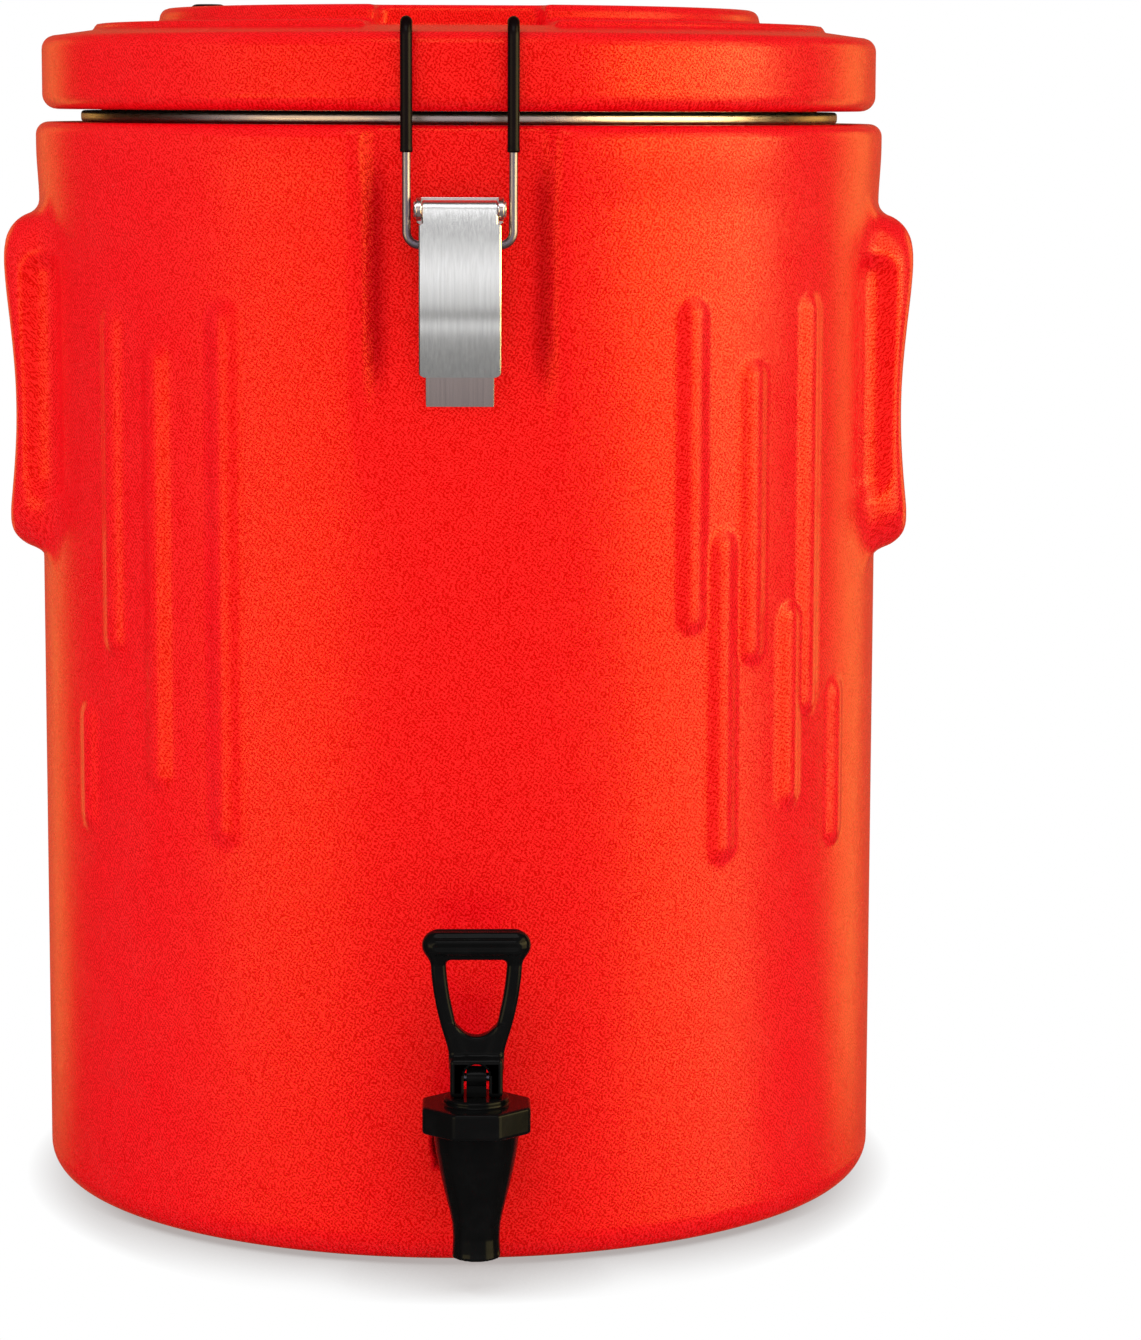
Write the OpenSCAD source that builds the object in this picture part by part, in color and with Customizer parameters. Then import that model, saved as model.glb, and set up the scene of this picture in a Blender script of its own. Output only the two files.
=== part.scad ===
// Insulated drink cooler: a double-walled barrel with a clamped lid and a spring-closed tap.
// Millimetres, +Z up. The origin is the centre of the base, and the tap is at the front, on -Y.

/* [Barrel] */
// Outer radius of the barrel's wall
body_r = 169; // [160:0.5:180]
// Height of the barrel, up to its shoulder
body_h = 427; // [410:1:470]
// Wall of the moulded barrel
shell_wall = 4; // [3:0.25:5]
// Radius where the wall turns into the base
base_corner = 12; // [9:1:16]
// How far the shoulder band stands out from the wall
shoulder_flare = 1; // [0.25:0.25:2]
// Height of the flared shoulder band
shoulder_band = 32; // [22:1:40]
// Radius of the shoulder's top edge
shoulder_corner = 5; // [3:0.5:7]

/* [Ribs] */
// Radius of a rib's round section
rib_r = 9; // [8:0.25:12]
// How far a rib stands proud of the wall
rib_rise = 2.3; // [1.5:0.1:3]
// Height at which the lowest rib ends
rib_base_z = 147; // [120:1:160]

/* [Side handles] */
// Height of a handle's lower end
handle_z = 258; // [238:1:266]
// Height of a handle from end to end
handle_h = 134; // [126:1:138]
// Half of a handle's width, from front to back
handle_half_w = 55; // [50:1:60]
// How far a handle stands out from the wall
handle_reach = 11; // [9:0.5:14]
// Depth of the waist in a handle's grip face
handle_waist = 4.4; // [2:0.2:6]
// Radius of a handle's upper and lower ends
handle_corner = 14; // [11:0.5:16]
// Width of the round scoop that makes a finger pocket
pocket_w = 20; // [18:0.5:21]
// Height of a finger pocket
pocket_h = 98; // [80:1:104]
// Half of the web between a handle's two pockets
pocket_web = 50; // [48:0.5:52]
// Distance from a handle's outer face in to its pockets
grip_t = 3.5; // [3:0.1:4.5]

/* [Liner] */
// Inner radius of the steel liner
liner_r = 127; // [120:0.5:129]
// Thickness of the steel sheet
liner_wall = 1; // [0.8:0.1:1.4]
// Radius between the liner's wall and its floor
liner_corner = 7; // [5:0.5:8]
// Foam under the liner's floor
base_foam = 20; // [16:1:22]
// Distance from the barrel's wall in to the rolled rim
rim_inset = 17; // [15:0.5:20]
// Radius of the rolled rim
rim_bead = 2; // [1.6:0.05:2.2]

/* [Lid] */
// How much smaller the lid's radius is than the barrel's
lid_inset = 1.7; // [0.5:0.1:3]
// Open gap between the shoulder and the lid
lid_gap = 5; // [4.5:0.1:7]
// Height of the lid's outer edge
lid_edge_h = 29; // [26:0.5:34]
// Wall of the moulded lid
lid_wall = 3.5; // [3:0.25:4]
// Radius of the lid's top edge
lid_top_corner = 5.5; // [4:0.5:7]
// Radius of the lid's lower edge
lid_low_corner = 6; // [4:0.5:8]
// Width of the ledge that the hooks catch on
ledge_w = 21; // [19:0.5:24]
// How far the ledge climbs inwards
ledge_rise = 2.2; // [1.5:0.1:3]
// Height of the low step inside the ledge
step_h = 2.4; // [1.5:0.1:3.5]
// Distance from the lid's edge in to the raised ring
ring_inset = 47; // [44:0.5:50]
// Height of the raised ring above the low step
ring_h = 6.2; // [5:0.2:8]
// Edge radius of the raised ring
ring_corner = 4; // [2.5:0.5:4.5]
// Width of the raised ring
ring_w = 38; // [36:0.5:42]
// Depth of the dish inside the raised ring
dish_depth = 6; // [4:0.5:7]
// Half width of the lid's latch notch at its mouth
notch_half_w = 36; // [33:0.5:40]
// How far the notch cuts into the raised ring
notch_depth = 20; // [15:0.5:24]
// How far the lid's plug reaches down into the liner
plug_depth = 18; // [14:0.5:22]
// Gap between the lid's plug and the liner
plug_gap = 3; // [2:0.25:5]
// Width of the lid gasket
gasket_w = 10; // [8:0.5:11]
// Depth of the gasket's groove in the lid
gasket_seat = 2; // [1.5:0.1:2.5]

/* [Vent] */
// Distance of the vent from the lid's centre, to the left
vent_x = 101; // [100:0.5:102]
// Radius of the round pocket that the vent sits in
vent_pocket_r = 13; // [12:0.5:14]
// Depth of the vent's pocket
vent_pocket_h = 8; // [6:0.5:9]
// Radius of the vent seat's tube
vent_tube_r = 6; // [5:0.25:7]
// Radius of the vent seat's bore
vent_bore_r = 3.6; // [3:0.1:4]
// How far the vent plug's knob stands above the pocket's floor
vent_knob_h = 10; // [9:0.5:12]

/* [Latch] */
// Depth of the latch recess at its middle
recess_depth = 8; // [6.5:0.25:9]
// Half width of the recess floor
recess_half_w = 31; // [28:0.5:34]
// Half width of the recess at the wall's surface
recess_mouth = 37; // [35:0.5:40]
// Distance from the shoulder down to the end of the recess floor
recess_h = 108; // [106:1:116]
// Length of the slope that ends the recess
recess_run = 40; // [30:1:48]
// Thickness of the moulded pad behind the recess
latch_pad = 12; // [11:0.5:14]
// Thickness of the latch's steel plate
plate_t = 1.5; // [1.2:0.1:2]
// Width of the latch's base plate
base_w = 25.4; // [24:0.2:27]
// Distance from the shoulder down to the base plate's end
base_drop = 103.5; // [101:0.5:105]
// Distance from the shoulder down to the lever's hinge
hinge_drop = 30.3; // [28:0.1:33]
// Radius of the lever's hinge pin
hinge_pin_r = 2; // [1.75:0.05:2.2]
// Radius of the lever's rolled hinge barrel
barrel_r = 3.3; // [3:0.1:3.8]
// Width of the lever
lever_w = 30; // [29:0.2:31]
// Length of the lever below its hinge
lever_l = 61; // [56:0.5:66]
// How far the lever bulges outwards between its ends
lever_bulge = 4; // [2.5:0.1:5]
// Distance between the bail's two arms
bail_w = 39; // [38.5:0.1:41]
// Radius of the bail's wire
wire_r = 1.6; // [1.4:0.05:1.75]
// Distance from the lever's hinge down to the bail's pivot
bail_drop = 13.1; // [12:0.1:15]
// How far the bail's pivot lies behind the lever's hinge
over_centre = 1.5; // [1:0.1:2]
// Radius of the bail's bends
bail_bend = 5; // [4.6:0.1:5.4]
// How far a hook reaches in over the lid
hook_reach = 10.3; // [9.5:0.1:11.5]
// Outer radius of the vinyl sleeve on a hook
sleeve_r = 2.25; // [2.05:0.05:2.4]
// Length of a sleeve's straight part
sleeve_l = 42; // [36:0.5:46]
// Clearance between the sleeves and the side of the lid
wire_gap = 1.2; // [0.8:0.1:2]
// Height of the upper latch screw above the lower one
screw_pitch = 24; // [20:0.5:26]
// Radius of a latch screw
screw_r = 2.4; // [2:0.1:2.6]

/* [Tap] */
// Offset of the tap to the right of the latch
tap_x = 6; // [0:0.5:10]
// Height of the tap's shank above the base
tap_z = 48; // [47:0.5:52]
// Distance from the wall out to the spout's axis
tap_reach = 34; // [32:0.5:40]
// Radius of the tap's shank
shank_r = 9; // [8:0.25:9.5]
// Radius of the water way through the shank
shank_bore_r = 5.5; // [4.5:0.25:6]
// Radius of the tap's collar and washers
collar_r = 15; // [13:0.5:15]
// Thickness of a tap washer
washer_t = 3; // [2:0.25:4]
// Height of the spout's outlet below the shank
spout_drop = 34.6; // [30:0.2:36]
// Outer radius of the spout's outlet
spout_r = 8.9; // [8.5:0.1:10]
// Radius of the spout's bore
spout_bore_r = 6.2; // [5.5:0.1:6.5]
// Outer radius of the valve body at its top
valve_r = 16; // [15.5:0.1:17]
// Height of the bonnet's lower edge above the shank
bonnet_rise = 13.5; // [13:0.1:15]
// Width of the octagonal bonnet across its flats
bonnet_af = 39.7; // [38:0.1:42]
// Height of the bonnet
bonnet_h = 10; // [9:0.1:12]
// Radius of the tap's stem
stem_r = 3.2; // [3:0.1:3.5]
// Radius of the tap handle's pin
tap_pin_r = 1.6; // [1.4:0.05:1.8]
// Width of the tap handle's top bar
bar_w = 40.4; // [38:0.2:44]
// Radius of the tap handle's top bar
bar_r = 5.8; // [5:0.1:6]
// Height of the top bar's axis above the handle's pin
bar_rise = 49.4; // [46:0.2:54]
// Radius of the arms of the handle's loop
arm_r = 2.8; // [2.4:0.1:3.1]
// Radius of the spring's wire
spring_wire_r = 0.6; // [0.5:0.05:0.7]
// Number of curls in the tap's spring
spring_curls = 5; // [4:1:6]

/* [Base plug] */
// Distance of the foam plug from the centre of the base
plug_y = 70; // [50:1:90]
// Radius of the foam plug's flange
plug_r = 16; // [13:0.5:20]

/* [Hidden] */
$fn = 96;
// Clearance between pieces that are fixed together
fit_gap = 0.25;
// Radial clearance of a pin that turns in its hole
run_gap = 0.05;
// Clearance between a moving piece and its seat
seat_gap = 0.3;
// How far a cut runs past the surface that it opens
over = 1;

// Barrel
shoulder_r = body_r + shoulder_flare;
band_z = body_h - shoulder_band;
band_margin = 4;
band_top_z = body_h - shoulder_corner - band_margin;
cavity_r = body_r - shell_wall;
rib_axis_r = body_r + rib_rise - rib_r;
rib_end = sqrt(rib_r * rib_r - pow(rib_r - rib_rise, 2));
// Each rib: its angle from the front, towards the right, and the heights of its ends above the lowest rib
RIBS = [
  [31, 91, 216], [41, 77, 192], [52.5, 54, 216], [36, 2, 128], [48.5, 19, 98], [60.3, 0, 65],
  [-31.5, 10, 214], [-42.8, 28, 198], [-51.8, 78, 210], [-58.5, 7, 56]
];

// Side handles
handle_x = body_r + handle_reach;
handle_mid_z = handle_z + handle_h / 2;
waist_half_h = 42;
waist_drop = 10;
pocket_raise = 3;
waist_r = (waist_half_h * waist_half_h + handle_waist * handle_waist) / (2 * handle_waist);
waist_z = handle_mid_z - waist_drop;
pocket_x = handle_x - grip_t - pocket_w / 2;
pocket_z = handle_mid_z + pocket_raise - pocket_h / 2;
// Least distance of a pocket's floor from the barrel's axis
pocket_deep_r = norm([pocket_x, pocket_web + pocket_w / 2]) - pocket_w / 2;

// Liner
liner_out_r = liner_r + liner_wall;
liner_floor = shell_wall + fit_gap + base_foam + fit_gap + liner_wall;
rim_r = body_r - rim_inset;
rim_top = body_h + liner_wall;

// Lid
lid_r = body_r - lid_inset;
lid_z = body_h + lid_gap;
edge_z = lid_z + lid_edge_h;
step_r = lid_r - ledge_w;
ledge_z = edge_z + ledge_rise;
step_z = ledge_z + step_h;
ring_r = lid_r - ring_inset;
ring_z = step_z + ring_h;
dish_r = ring_r - ring_w;
dish_z = ring_z - dish_depth;
plug_out_r = liner_r - plug_gap;
gasket_r = (liner_out_r + rim_r - rim_bead) / 2;
lid_hollow_z = lid_z + lid_wall + gasket_seat;
notch_taper = 6;
notch_back_w = notch_half_w - notch_taper;
notch_back_r = ring_r - notch_depth;
vent_floor = ring_z - vent_pocket_h;
vent_flange_h = 2;
vent_tail = 2;
vent_bottom = lid_z - plug_depth - vent_tail;
vent_stem_l = 24;
vent_stem_corner = 2;
knob_rim = 1.5;
knob_corner = 3;
knob_groove_r = 1.6;
knob_groove_out = 0.8;
knob_groove_up = 2.2;

// Latch
recess_r = body_r - recess_depth;
recess_floor_z = body_h - recess_h;
recess_edge_y = sqrt(body_r * body_r - recess_mouth * recess_mouth);
plate_r = recess_r + plate_t;
bail_r = lid_r + sleeve_r + wire_gap;
hinge_r = bail_r + over_centre;
hinge_z = body_h - hinge_drop;
bail_z = hinge_z - bail_drop;
base_low_z = body_h - base_drop;
ear_t = 1.8;
ear_lap = 0.9;
ear_rim = 0.9;
ear_foot = 3;
ear_in = lever_w / 2 - ear_lap;
ear_out = ear_in + ear_t;
ear_r = barrel_r + ear_rim;
barrel_half_w = ear_in - seat_gap;
pin_head_t = 1.2;
pin_head_rim = 1.2;
pin_head_r = hinge_pin_r + pin_head_rim;
strap_out_r = hinge_r + barrel_r;
strap_mid_z = hinge_z - lever_l / 2;
strap_r = (lever_l * lever_l / 4 + lever_bulge * lever_bulge) / (2 * lever_bulge);
strap_axis_r = strap_out_r + lever_bulge - strap_r;
strap_gap = 0.8;
strap_wide_z = hinge_z - ear_r - strap_gap;
cheek_x = 11.8;
cheek_half_h = 6.5;
hook_tip_r = lid_r - hook_reach;
hook_slope = ledge_rise / (ledge_w - lid_top_corner);
hook_seat_z = edge_z + (hook_reach - lid_top_corner) * hook_slope;
hook_z = hook_seat_z + seat_gap + sleeve_r;
sleeve_fit = 0.05;
screw_inset = 23;
screw_low_z = base_low_z + screw_inset;
screw_head_r = 4;
screw_head_t = 1.8;
screw_l = 9;

// Tap
tap_seat_y = sqrt(body_r * body_r - pow(tap_x + collar_r + over, 2)) - fit_gap;
tap_y = body_r + tap_reach;
spout_z = tap_z - spout_drop;
bonnet_z = tap_z + bonnet_rise;
bonnet_top = bonnet_z + bonnet_h;
boss_h = 2.5;
boss_r = 12;
boss_top = bonnet_top + boss_h;
seat_drop = 6;
valve_seat_z = tap_z - seat_drop;
valve_wall = 3.4;
seat_land = 2.8;
chamber_top_r = valve_r - valve_wall;
chamber_low_r = spout_bore_r + seat_land;
plug_skirt_h = 5;
skirt_gap = 1.2;
plug_skirt_r = chamber_top_r - skirt_gap;
// Valve body's outside: the spout's taper and length, and the cone above it
spout_taper = 0.3;
spout_tip_h = 11;
cone_step = 3.6;
cone_drop = 9.5;
neck_step = 1.5;
spring_well_r = 8.6;
spring_well_h = 4.5;
spring_flange_z = 10.5;
spring_top = bonnet_z + spring_well_h;
spring_seat = valve_seat_z + spring_flange_z;
spring_r = 6.4;
spring_flange_r = 7.6;
spring_flange_t = 2;
cup_lap = 1.8;
cup_r = spout_bore_r + cup_lap;
cup_t = 4;
cup_neck = 2;
stem_tail = 2.5;
stem_low_z = valve_seat_z + stem_tail;
pin_rise = 6.7;
tap_pin_z = boss_top + seat_gap + pin_rise;
eye_half_w = 3.65;
eye_r = 4.2;
fork_gap = 0.95;
fork_in = eye_half_w + fork_gap;
fork_half_w = 9.7;
fork_half_d = 6;
fork_over_pin = 8;
slot_gap = 1.7;
crotch_rise = 7.4;
fork_top_z = tap_pin_z + fork_over_pin;
fork_low_z = boss_top + seat_gap;
bar_z = tap_pin_z + bar_rise;
// Centre line of one arm of the loop: its points beside the bar, at mid height and at the neck
arm_top_in = 6.2;
arm_mid_in = 7.9;
arm_mid_up = 3;
arm_low_up = 2;
arm_top = [bar_w / 2 - arm_top_in, bar_z - bar_r];
arm_mid = [bar_w / 2 - arm_mid_in, (bar_z - bar_r + fork_top_z) / 2 + arm_mid_up];
arm_low = [fork_half_w - arm_r, fork_top_z + arm_low_up];
inner_wall_y = sqrt(liner_r * liner_r - pow(tap_x + collar_r, 2));
nut_t = 8;
nut_af = 28;
shank_tail = 4;
shank_end_y = inner_wall_y - washer_t - nut_t - shank_tail;

// Base plug
base_flange_t = 1.4;
base_flange_gap = 0.1;
base_flange_w = 3.2;
base_plug_r = plug_r - base_flange_w;
base_plug_h = 8;

// The sliver outside a quarter round, at a square corner whose material lies towards [sx, sy]
module corner_relief(x, y, r, sx, sy) {
  translate([x, y])
    mirror([sx < 0 ? 1 : 0, 0])
      mirror([0, sy < 0 ? 1 : 0])
        difference() {
          translate([-over, -over]) square(r + over);
          translate([r, r]) circle(r);
        }
}

// A rod with round ends, standing on its lower end
module capsule(r, h) {
  rotate_extrude() {
    translate([0, r]) square([r, h - 2 * r]);
    for (z = [r, h - r]) {
      intersection() {
        translate([0, z]) circle(r);
        translate([0, z - r]) square([r, 2 * r]);
      }
    }
  }
}

// An outline in X and Z, given a thickness along Y
module slab_xz(t) {
  rotate([90, 0, 0]) linear_extrude(t, center = true) children();
}

// An outline in Y and Z, given a thickness along X
module slab_yz(t) {
  rotate([90, 0, 90]) linear_extrude(t, center = true) children();
}

// A piece and its copy on the other side of the barrel
module both_sides() {
  for (turn = [0, 180]) {
    rotate([0, 0, turn]) children();
  }
}

// Barrel

module barrel_outline() {
  difference() {
    polygon([
      [0, 0], [body_r, 0], [body_r, band_z], [shoulder_r, band_top_z], [shoulder_r, body_h], [0, body_h]
    ]);
    corner_relief(body_r, 0, base_corner, -1, 1);
    corner_relief(shoulder_r, body_h, shoulder_corner, -1, -1);
  }
}

module ribs() {
  for (rib = RIBS) {
    rotate([0, 0, rib[0]])
      translate([0, -rib_axis_r, rib_base_z + rib[1] + rib_end - rib_r])
        capsule(rib_r, rib[2] - rib[1] - 2 * rib_end + 2 * rib_r);
  }
}

// The handle's outline from the front: round ends and a hollow waist
module handle_side() {
  difference() {
    translate([cavity_r - shell_wall, handle_z]) square([handle_x - cavity_r + shell_wall, handle_h]);
    corner_relief(handle_x, handle_z, handle_corner, -1, 1);
    corner_relief(handle_x, handle_z + handle_h, handle_corner, -1, -1);
    translate([handle_x - handle_waist + waist_r, waist_z]) circle(waist_r, $fn = 360);
  }
}

// The handle's outline from above
module handle_plan() {
  inner_x = body_r * 0.8;
  difference() {
    translate([inner_x, -handle_half_w]) square([handle_x - inner_x, 2 * handle_half_w]);
    corner_relief(handle_x, -handle_half_w, handle_corner, -1, 1);
    corner_relief(handle_x, handle_half_w, handle_corner, -1, -1);
  }
}

// The handle's outline from the side
module handle_face() {
  corner = handle_corner * 1.5;
  difference() {
    translate([-handle_half_w, handle_z]) square([2 * handle_half_w, handle_h]);
    for (side = [-1, 1]) {
      corner_relief(side * handle_half_w, handle_z, corner, -side, 1);
      corner_relief(side * handle_half_w, handle_z + handle_h, corner, -side, -1);
    }
  }
}

module side_handle() {
  intersection() {
    slab_xz(2 * handle_half_w) handle_side();
    translate([0, 0, handle_z]) linear_extrude(handle_h) handle_plan();
    translate([handle_x / 2, 0, 0]) slab_yz(handle_x) handle_face();
  }
}

// One finger pocket, a shallow scoop let into the front of a handle
module finger_pocket() {
  r = pocket_w / 2;
  translate([pocket_x, -pocket_web - r, pocket_z]) capsule(r, pocket_h);
}

// The flat-floored recess for the front latch, open at the shoulder
module latch_recess() {
  slope = (recess_mouth - recess_half_w) / (recess_edge_y - recess_r);
  out_y = shoulder_r + over;
  out_x = recess_half_w + (out_y - recess_r) * slope;
  intersection() {
    linear_extrude(body_h + over)
      polygon([[-out_x, -out_y], [-recess_half_w, -recess_r], [recess_half_w, -recess_r], [out_x, -out_y]]);
    slab_yz(2 * out_x)
      polygon([
        [-recess_r, body_h + over], [-recess_r, recess_floor_z], [-body_r - over, recess_floor_z - recess_run],
        [-out_y - over, recess_floor_z - recess_run], [-out_y - over, body_h + over]
      ]);
  }
}

module latch_screw_holes(r) {
  for (step = [0, 1]) {
    translate([0, -plate_r - over, screw_low_z + step * screw_pitch])
      rotate([-90, 0, 0]) cylinder(h = screw_l + over + fit_gap, r = r);
  }
}

// The hollow between the shell and the liner, drawn in by gap
module barrel_cavity(gap) {
  r = cavity_r - gap;
  low = shell_wall + gap;
  difference() {
    rotate_extrude() {
      difference() {
        translate([0, low]) square([r, body_h - 2 * low]);
        corner_relief(r, low, base_corner - shell_wall, -1, 1);
      }
    }
    both_sides() {
      // Pad that the latch is screwed to
      pad_half_w = recess_mouth + shell_wall + gap;
      pad_low = recess_floor_z - recess_run - gap;
      translate([-pad_half_w, -shoulder_r, pad_low])
        cube([2 * pad_half_w, shoulder_r - recess_r + latch_pad + gap, body_h - pad_low]);
      // Pad behind a handle's pockets
      difference() {
        translate([0, -handle_half_w - pocket_w - gap, handle_z - gap])
          cube([body_r, 2 * (handle_half_w + pocket_w + gap), handle_h + 2 * gap]);
        cylinder(h = body_h, r = pocket_deep_r - shell_wall - gap);
      }
    }
  }
}

// The tap's passage along Y, from the outside to inside the liner
module tap_passage(r, from_y, to_y) {
  translate([tap_x, -from_y, tap_z]) rotate([-90, 0, 0]) cylinder(h = from_y - to_y, r = r);
}

module outer_shell() {
  color("#f21c19")
    difference() {
      union() {
        rotate_extrude() barrel_outline();
        both_sides() {
          ribs();
          side_handle();
        }
      }
      barrel_cavity(0);
      translate([0, 0, body_h - shell_wall - over])
        cylinder(h = shell_wall + 2 * over, r = liner_out_r + fit_gap);
      both_sides() {
        latch_recess();
        latch_screw_holes(screw_r + fit_gap);
        finger_pocket();
        mirror([0, 1, 0]) finger_pocket();
      }
      tap_passage(shank_r + fit_gap, body_r + over, liner_out_r);
      tap_passage(collar_r + over, body_r + over, tap_seat_y);
      translate([0, plug_y, -over]) cylinder(h = shell_wall + 2 * over, r = base_plug_r + fit_gap);
      translate([0, plug_y, -over])
        cylinder(h = base_flange_t + base_flange_gap + over, r = plug_r + fit_gap);
    }
}

module body_foam() {
  liner_low = liner_floor - liner_wall - fit_gap;
  color("#f3e3b5")
    difference() {
      barrel_cavity(fit_gap);
      translate([0, 0, liner_low]) cylinder(h = body_h, r = liner_out_r + fit_gap);
      tap_passage(shank_r + fit_gap, body_r, liner_r - over);
      translate([0, plug_y, 0]) cylinder(h = base_plug_h + fit_gap, r = base_plug_r + fit_gap);
    }
}

module liner_cup(r, low, corner) {
  difference() {
    translate([0, low]) square([r, body_h + over - low]);
    corner_relief(r, low, corner, -1, 1);
  }
}

module inner_liner() {
  color("#c9ccd0")
    difference() {
      rotate_extrude() {
        difference() {
          union() {
            intersection() {
              liner_cup(liner_out_r, liner_floor - liner_wall, liner_corner + liner_wall);
              square([liner_out_r, rim_top]);
            }
            translate([liner_r, body_h]) square([rim_r - rim_bead - liner_r, liner_wall]);
            translate([rim_r - rim_bead, body_h + rim_bead]) circle(rim_bead);
          }
          liner_cup(liner_r, liner_floor, liner_corner);
        }
      }
      tap_passage(shank_r + fit_gap, body_r, 0);
    }
}

module base_plug() {
  color("#1c1c1e")
    translate([0, plug_y, base_flange_gap]) {
      cylinder(h = base_flange_t, r = plug_r);
      cylinder(h = base_plug_h - base_flange_gap, r = base_plug_r);
    }
}

// Lid

module lid_outline() {
  difference() {
    polygon([
      [0, lid_z - plug_depth], [plug_out_r, lid_z - plug_depth], [plug_out_r, lid_z], [lid_r, lid_z],
      [lid_r, edge_z], [lid_r - lid_top_corner, edge_z], [step_r, ledge_z], [step_r - step_h, step_z],
      [ring_r, step_z], [ring_r, ring_z], [dish_r, ring_z], [dish_r - dish_depth, dish_z], [0, dish_z]
    ]);
    corner_relief(plug_out_r, lid_z - plug_depth, lid_low_corner, -1, 1);
    corner_relief(lid_r, lid_z, lid_low_corner, -1, 1);
    corner_relief(lid_r, edge_z, lid_top_corner, -1, -1);
    corner_relief(ring_r, ring_z, ring_corner, -1, -1);
  }
}

// The notch in front of the raised ring that leaves room for the hooks
module lid_notch(grow) {
  mouth_r = step_r + over;
  linear_extrude(ring_z + over)
    polygon([
      [-notch_half_w - grow, -mouth_r], [-notch_back_w - grow, -notch_back_r + grow],
      [notch_back_w + grow, -notch_back_r + grow], [notch_half_w + grow, -mouth_r]
    ]);
}

// The hollow of the lid, drawn in by gap
module lid_hollow(gap) {
  wall = lid_wall + gap;
  low = lid_z - plug_depth + wall;
  edge_r = lid_r - lid_low_corner;
  difference() {
    rotate_extrude()
      polygon([
        [0, low], [plug_out_r - wall - lid_low_corner / 2, low], [plug_out_r - wall, low + lid_low_corner / 2],
        [plug_out_r - wall, lid_hollow_z + gap], [edge_r - gap, lid_hollow_z + gap],
        [edge_r - gap, edge_z - wall],
        [ring_r - wall, edge_z - wall], [ring_r - wall, ring_z - wall], [dish_r + wall, ring_z - wall],
        [dish_r + wall - dish_depth, dish_z - wall], [0, dish_z - wall]
      ]);
    both_sides()
      translate([0, 0, edge_z - wall]) lid_notch(wall);
    translate([-vent_x, 0, low - over]) cylinder(h = ring_z, r = vent_tube_r + wall);
    translate([-vent_x, 0, vent_floor - wall]) cylinder(h = ring_z, r = vent_pocket_r + wall);
  }
}

// A ring of the gasket's width, drawn in by gap
module gasket_band(low, high, gap) {
  translate([gasket_r - gasket_w / 2 + gap, low]) square([gasket_w - 2 * gap, high - low]);
}

module lid_shell() {
  color("#ee1a1a")
    difference() {
      rotate_extrude() lid_outline();
      lid_hollow(0);
      both_sides()
        translate([0, 0, ledge_z]) lid_notch(0);
      rotate_extrude() gasket_band(lid_z - over, lid_z + gasket_seat, 0);
      translate([-vent_x, 0, vent_floor]) cylinder(h = vent_pocket_h + over, r = vent_pocket_r);
      translate([-vent_x, 0, lid_z - plug_depth - over])
        cylinder(h = vent_floor - lid_z + plug_depth + 2 * over, r = vent_tube_r + fit_gap);
    }
}

module lid_foam() {
  color("#f3e3b5") lid_hollow(fit_gap);
}

module lid_gasket() {
  low = rim_top + seat_gap;
  lip = 1.5;
  color("#2b2b2d")
    rotate_extrude()
      difference() {
        gasket_band(low, lid_z + gasket_seat, fit_gap / 2);
        corner_relief(gasket_r - gasket_w / 2 + fit_gap / 2, low, lip, 1, 1);
        corner_relief(gasket_r + gasket_w / 2 - fit_gap / 2, low, lip, -1, 1);
      }
}

module vent_seat() {
  color("#18181a")
    translate([-vent_x, 0, 0])
      difference() {
        union() {
          translate([0, 0, vent_floor]) cylinder(h = vent_flange_h, r = vent_pocket_r - 2 * fit_gap);
          translate([0, 0, vent_bottom]) cylinder(h = vent_floor - vent_bottom, r = vent_tube_r);
        }
        translate([0, 0, vent_bottom - over])
          cylinder(h = vent_floor + vent_flange_h - vent_bottom + 2 * over, r = vent_bore_r);
      }
}

module vent_plug() {
  knob_r = vent_tube_r + knob_rim;
  knob_low = vent_floor + vent_flange_h + seat_gap;
  knob_top = vent_floor + vent_knob_h;
  stem_low = knob_low - vent_stem_l;
  color("#18181a")
    translate([-vent_x, 0, 0])
      rotate_extrude()
        difference() {
          union() {
            translate([0, stem_low]) square([vent_bore_r - run_gap, vent_stem_l + over]);
            translate([0, knob_low]) square([knob_r, knob_top - knob_low]);
          }
          corner_relief(knob_r, knob_top, knob_corner, -1, -1);
          corner_relief(vent_bore_r - run_gap, stem_low, vent_stem_corner, -1, 1);
          translate([knob_r + knob_groove_out, knob_low + knob_groove_up]) circle(knob_groove_r);
        }
}

// Latch

module latch_plate_outline() {
  top_z = hinge_z + ear_r;
  wide_low = hinge_z - ear_r - ear_foot;
  translate([-base_w / 2, base_low_z]) square([base_w, top_z - base_low_z]);
  translate([-ear_out, wide_low]) square([2 * ear_out, top_z - wide_low]);
}

// An ear, in Y and Z, that carries the hinge pin
module latch_ear() {
  difference() {
    union() {
      translate([-hinge_r, hinge_z]) circle(ear_r);
      translate([-hinge_r, hinge_z - ear_r]) square([hinge_r - plate_r + plate_t / 2, 2 * ear_r]);
    }
    translate([-hinge_r, hinge_z]) circle(hinge_pin_r);
  }
}

module latch_base() {
  color("#b9babd")
    difference() {
      union() {
        translate([0, -(recess_r + plate_r) / 2, 0]) slab_xz(plate_t) latch_plate_outline();
        for (side = [-1, 1]) {
          translate([side * (ear_in + ear_out) / 2, 0, 0]) slab_yz(ear_t) latch_ear();
        }
      }
      latch_screw_holes(screw_r + fit_gap);
    }
}

module latch_pin() {
  color("#c9cacd")
    translate([0, -hinge_r, hinge_z])
      rotate([0, 90, 0]) {
        cylinder(h = 2 * ear_out, r = hinge_pin_r, center = true);
        for (side = [-1, 1]) {
          translate([0, 0, side * (ear_out + pin_head_t / 2)])
            cylinder(h = pin_head_t, r = pin_head_r, center = true);
        }
      }
}

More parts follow.
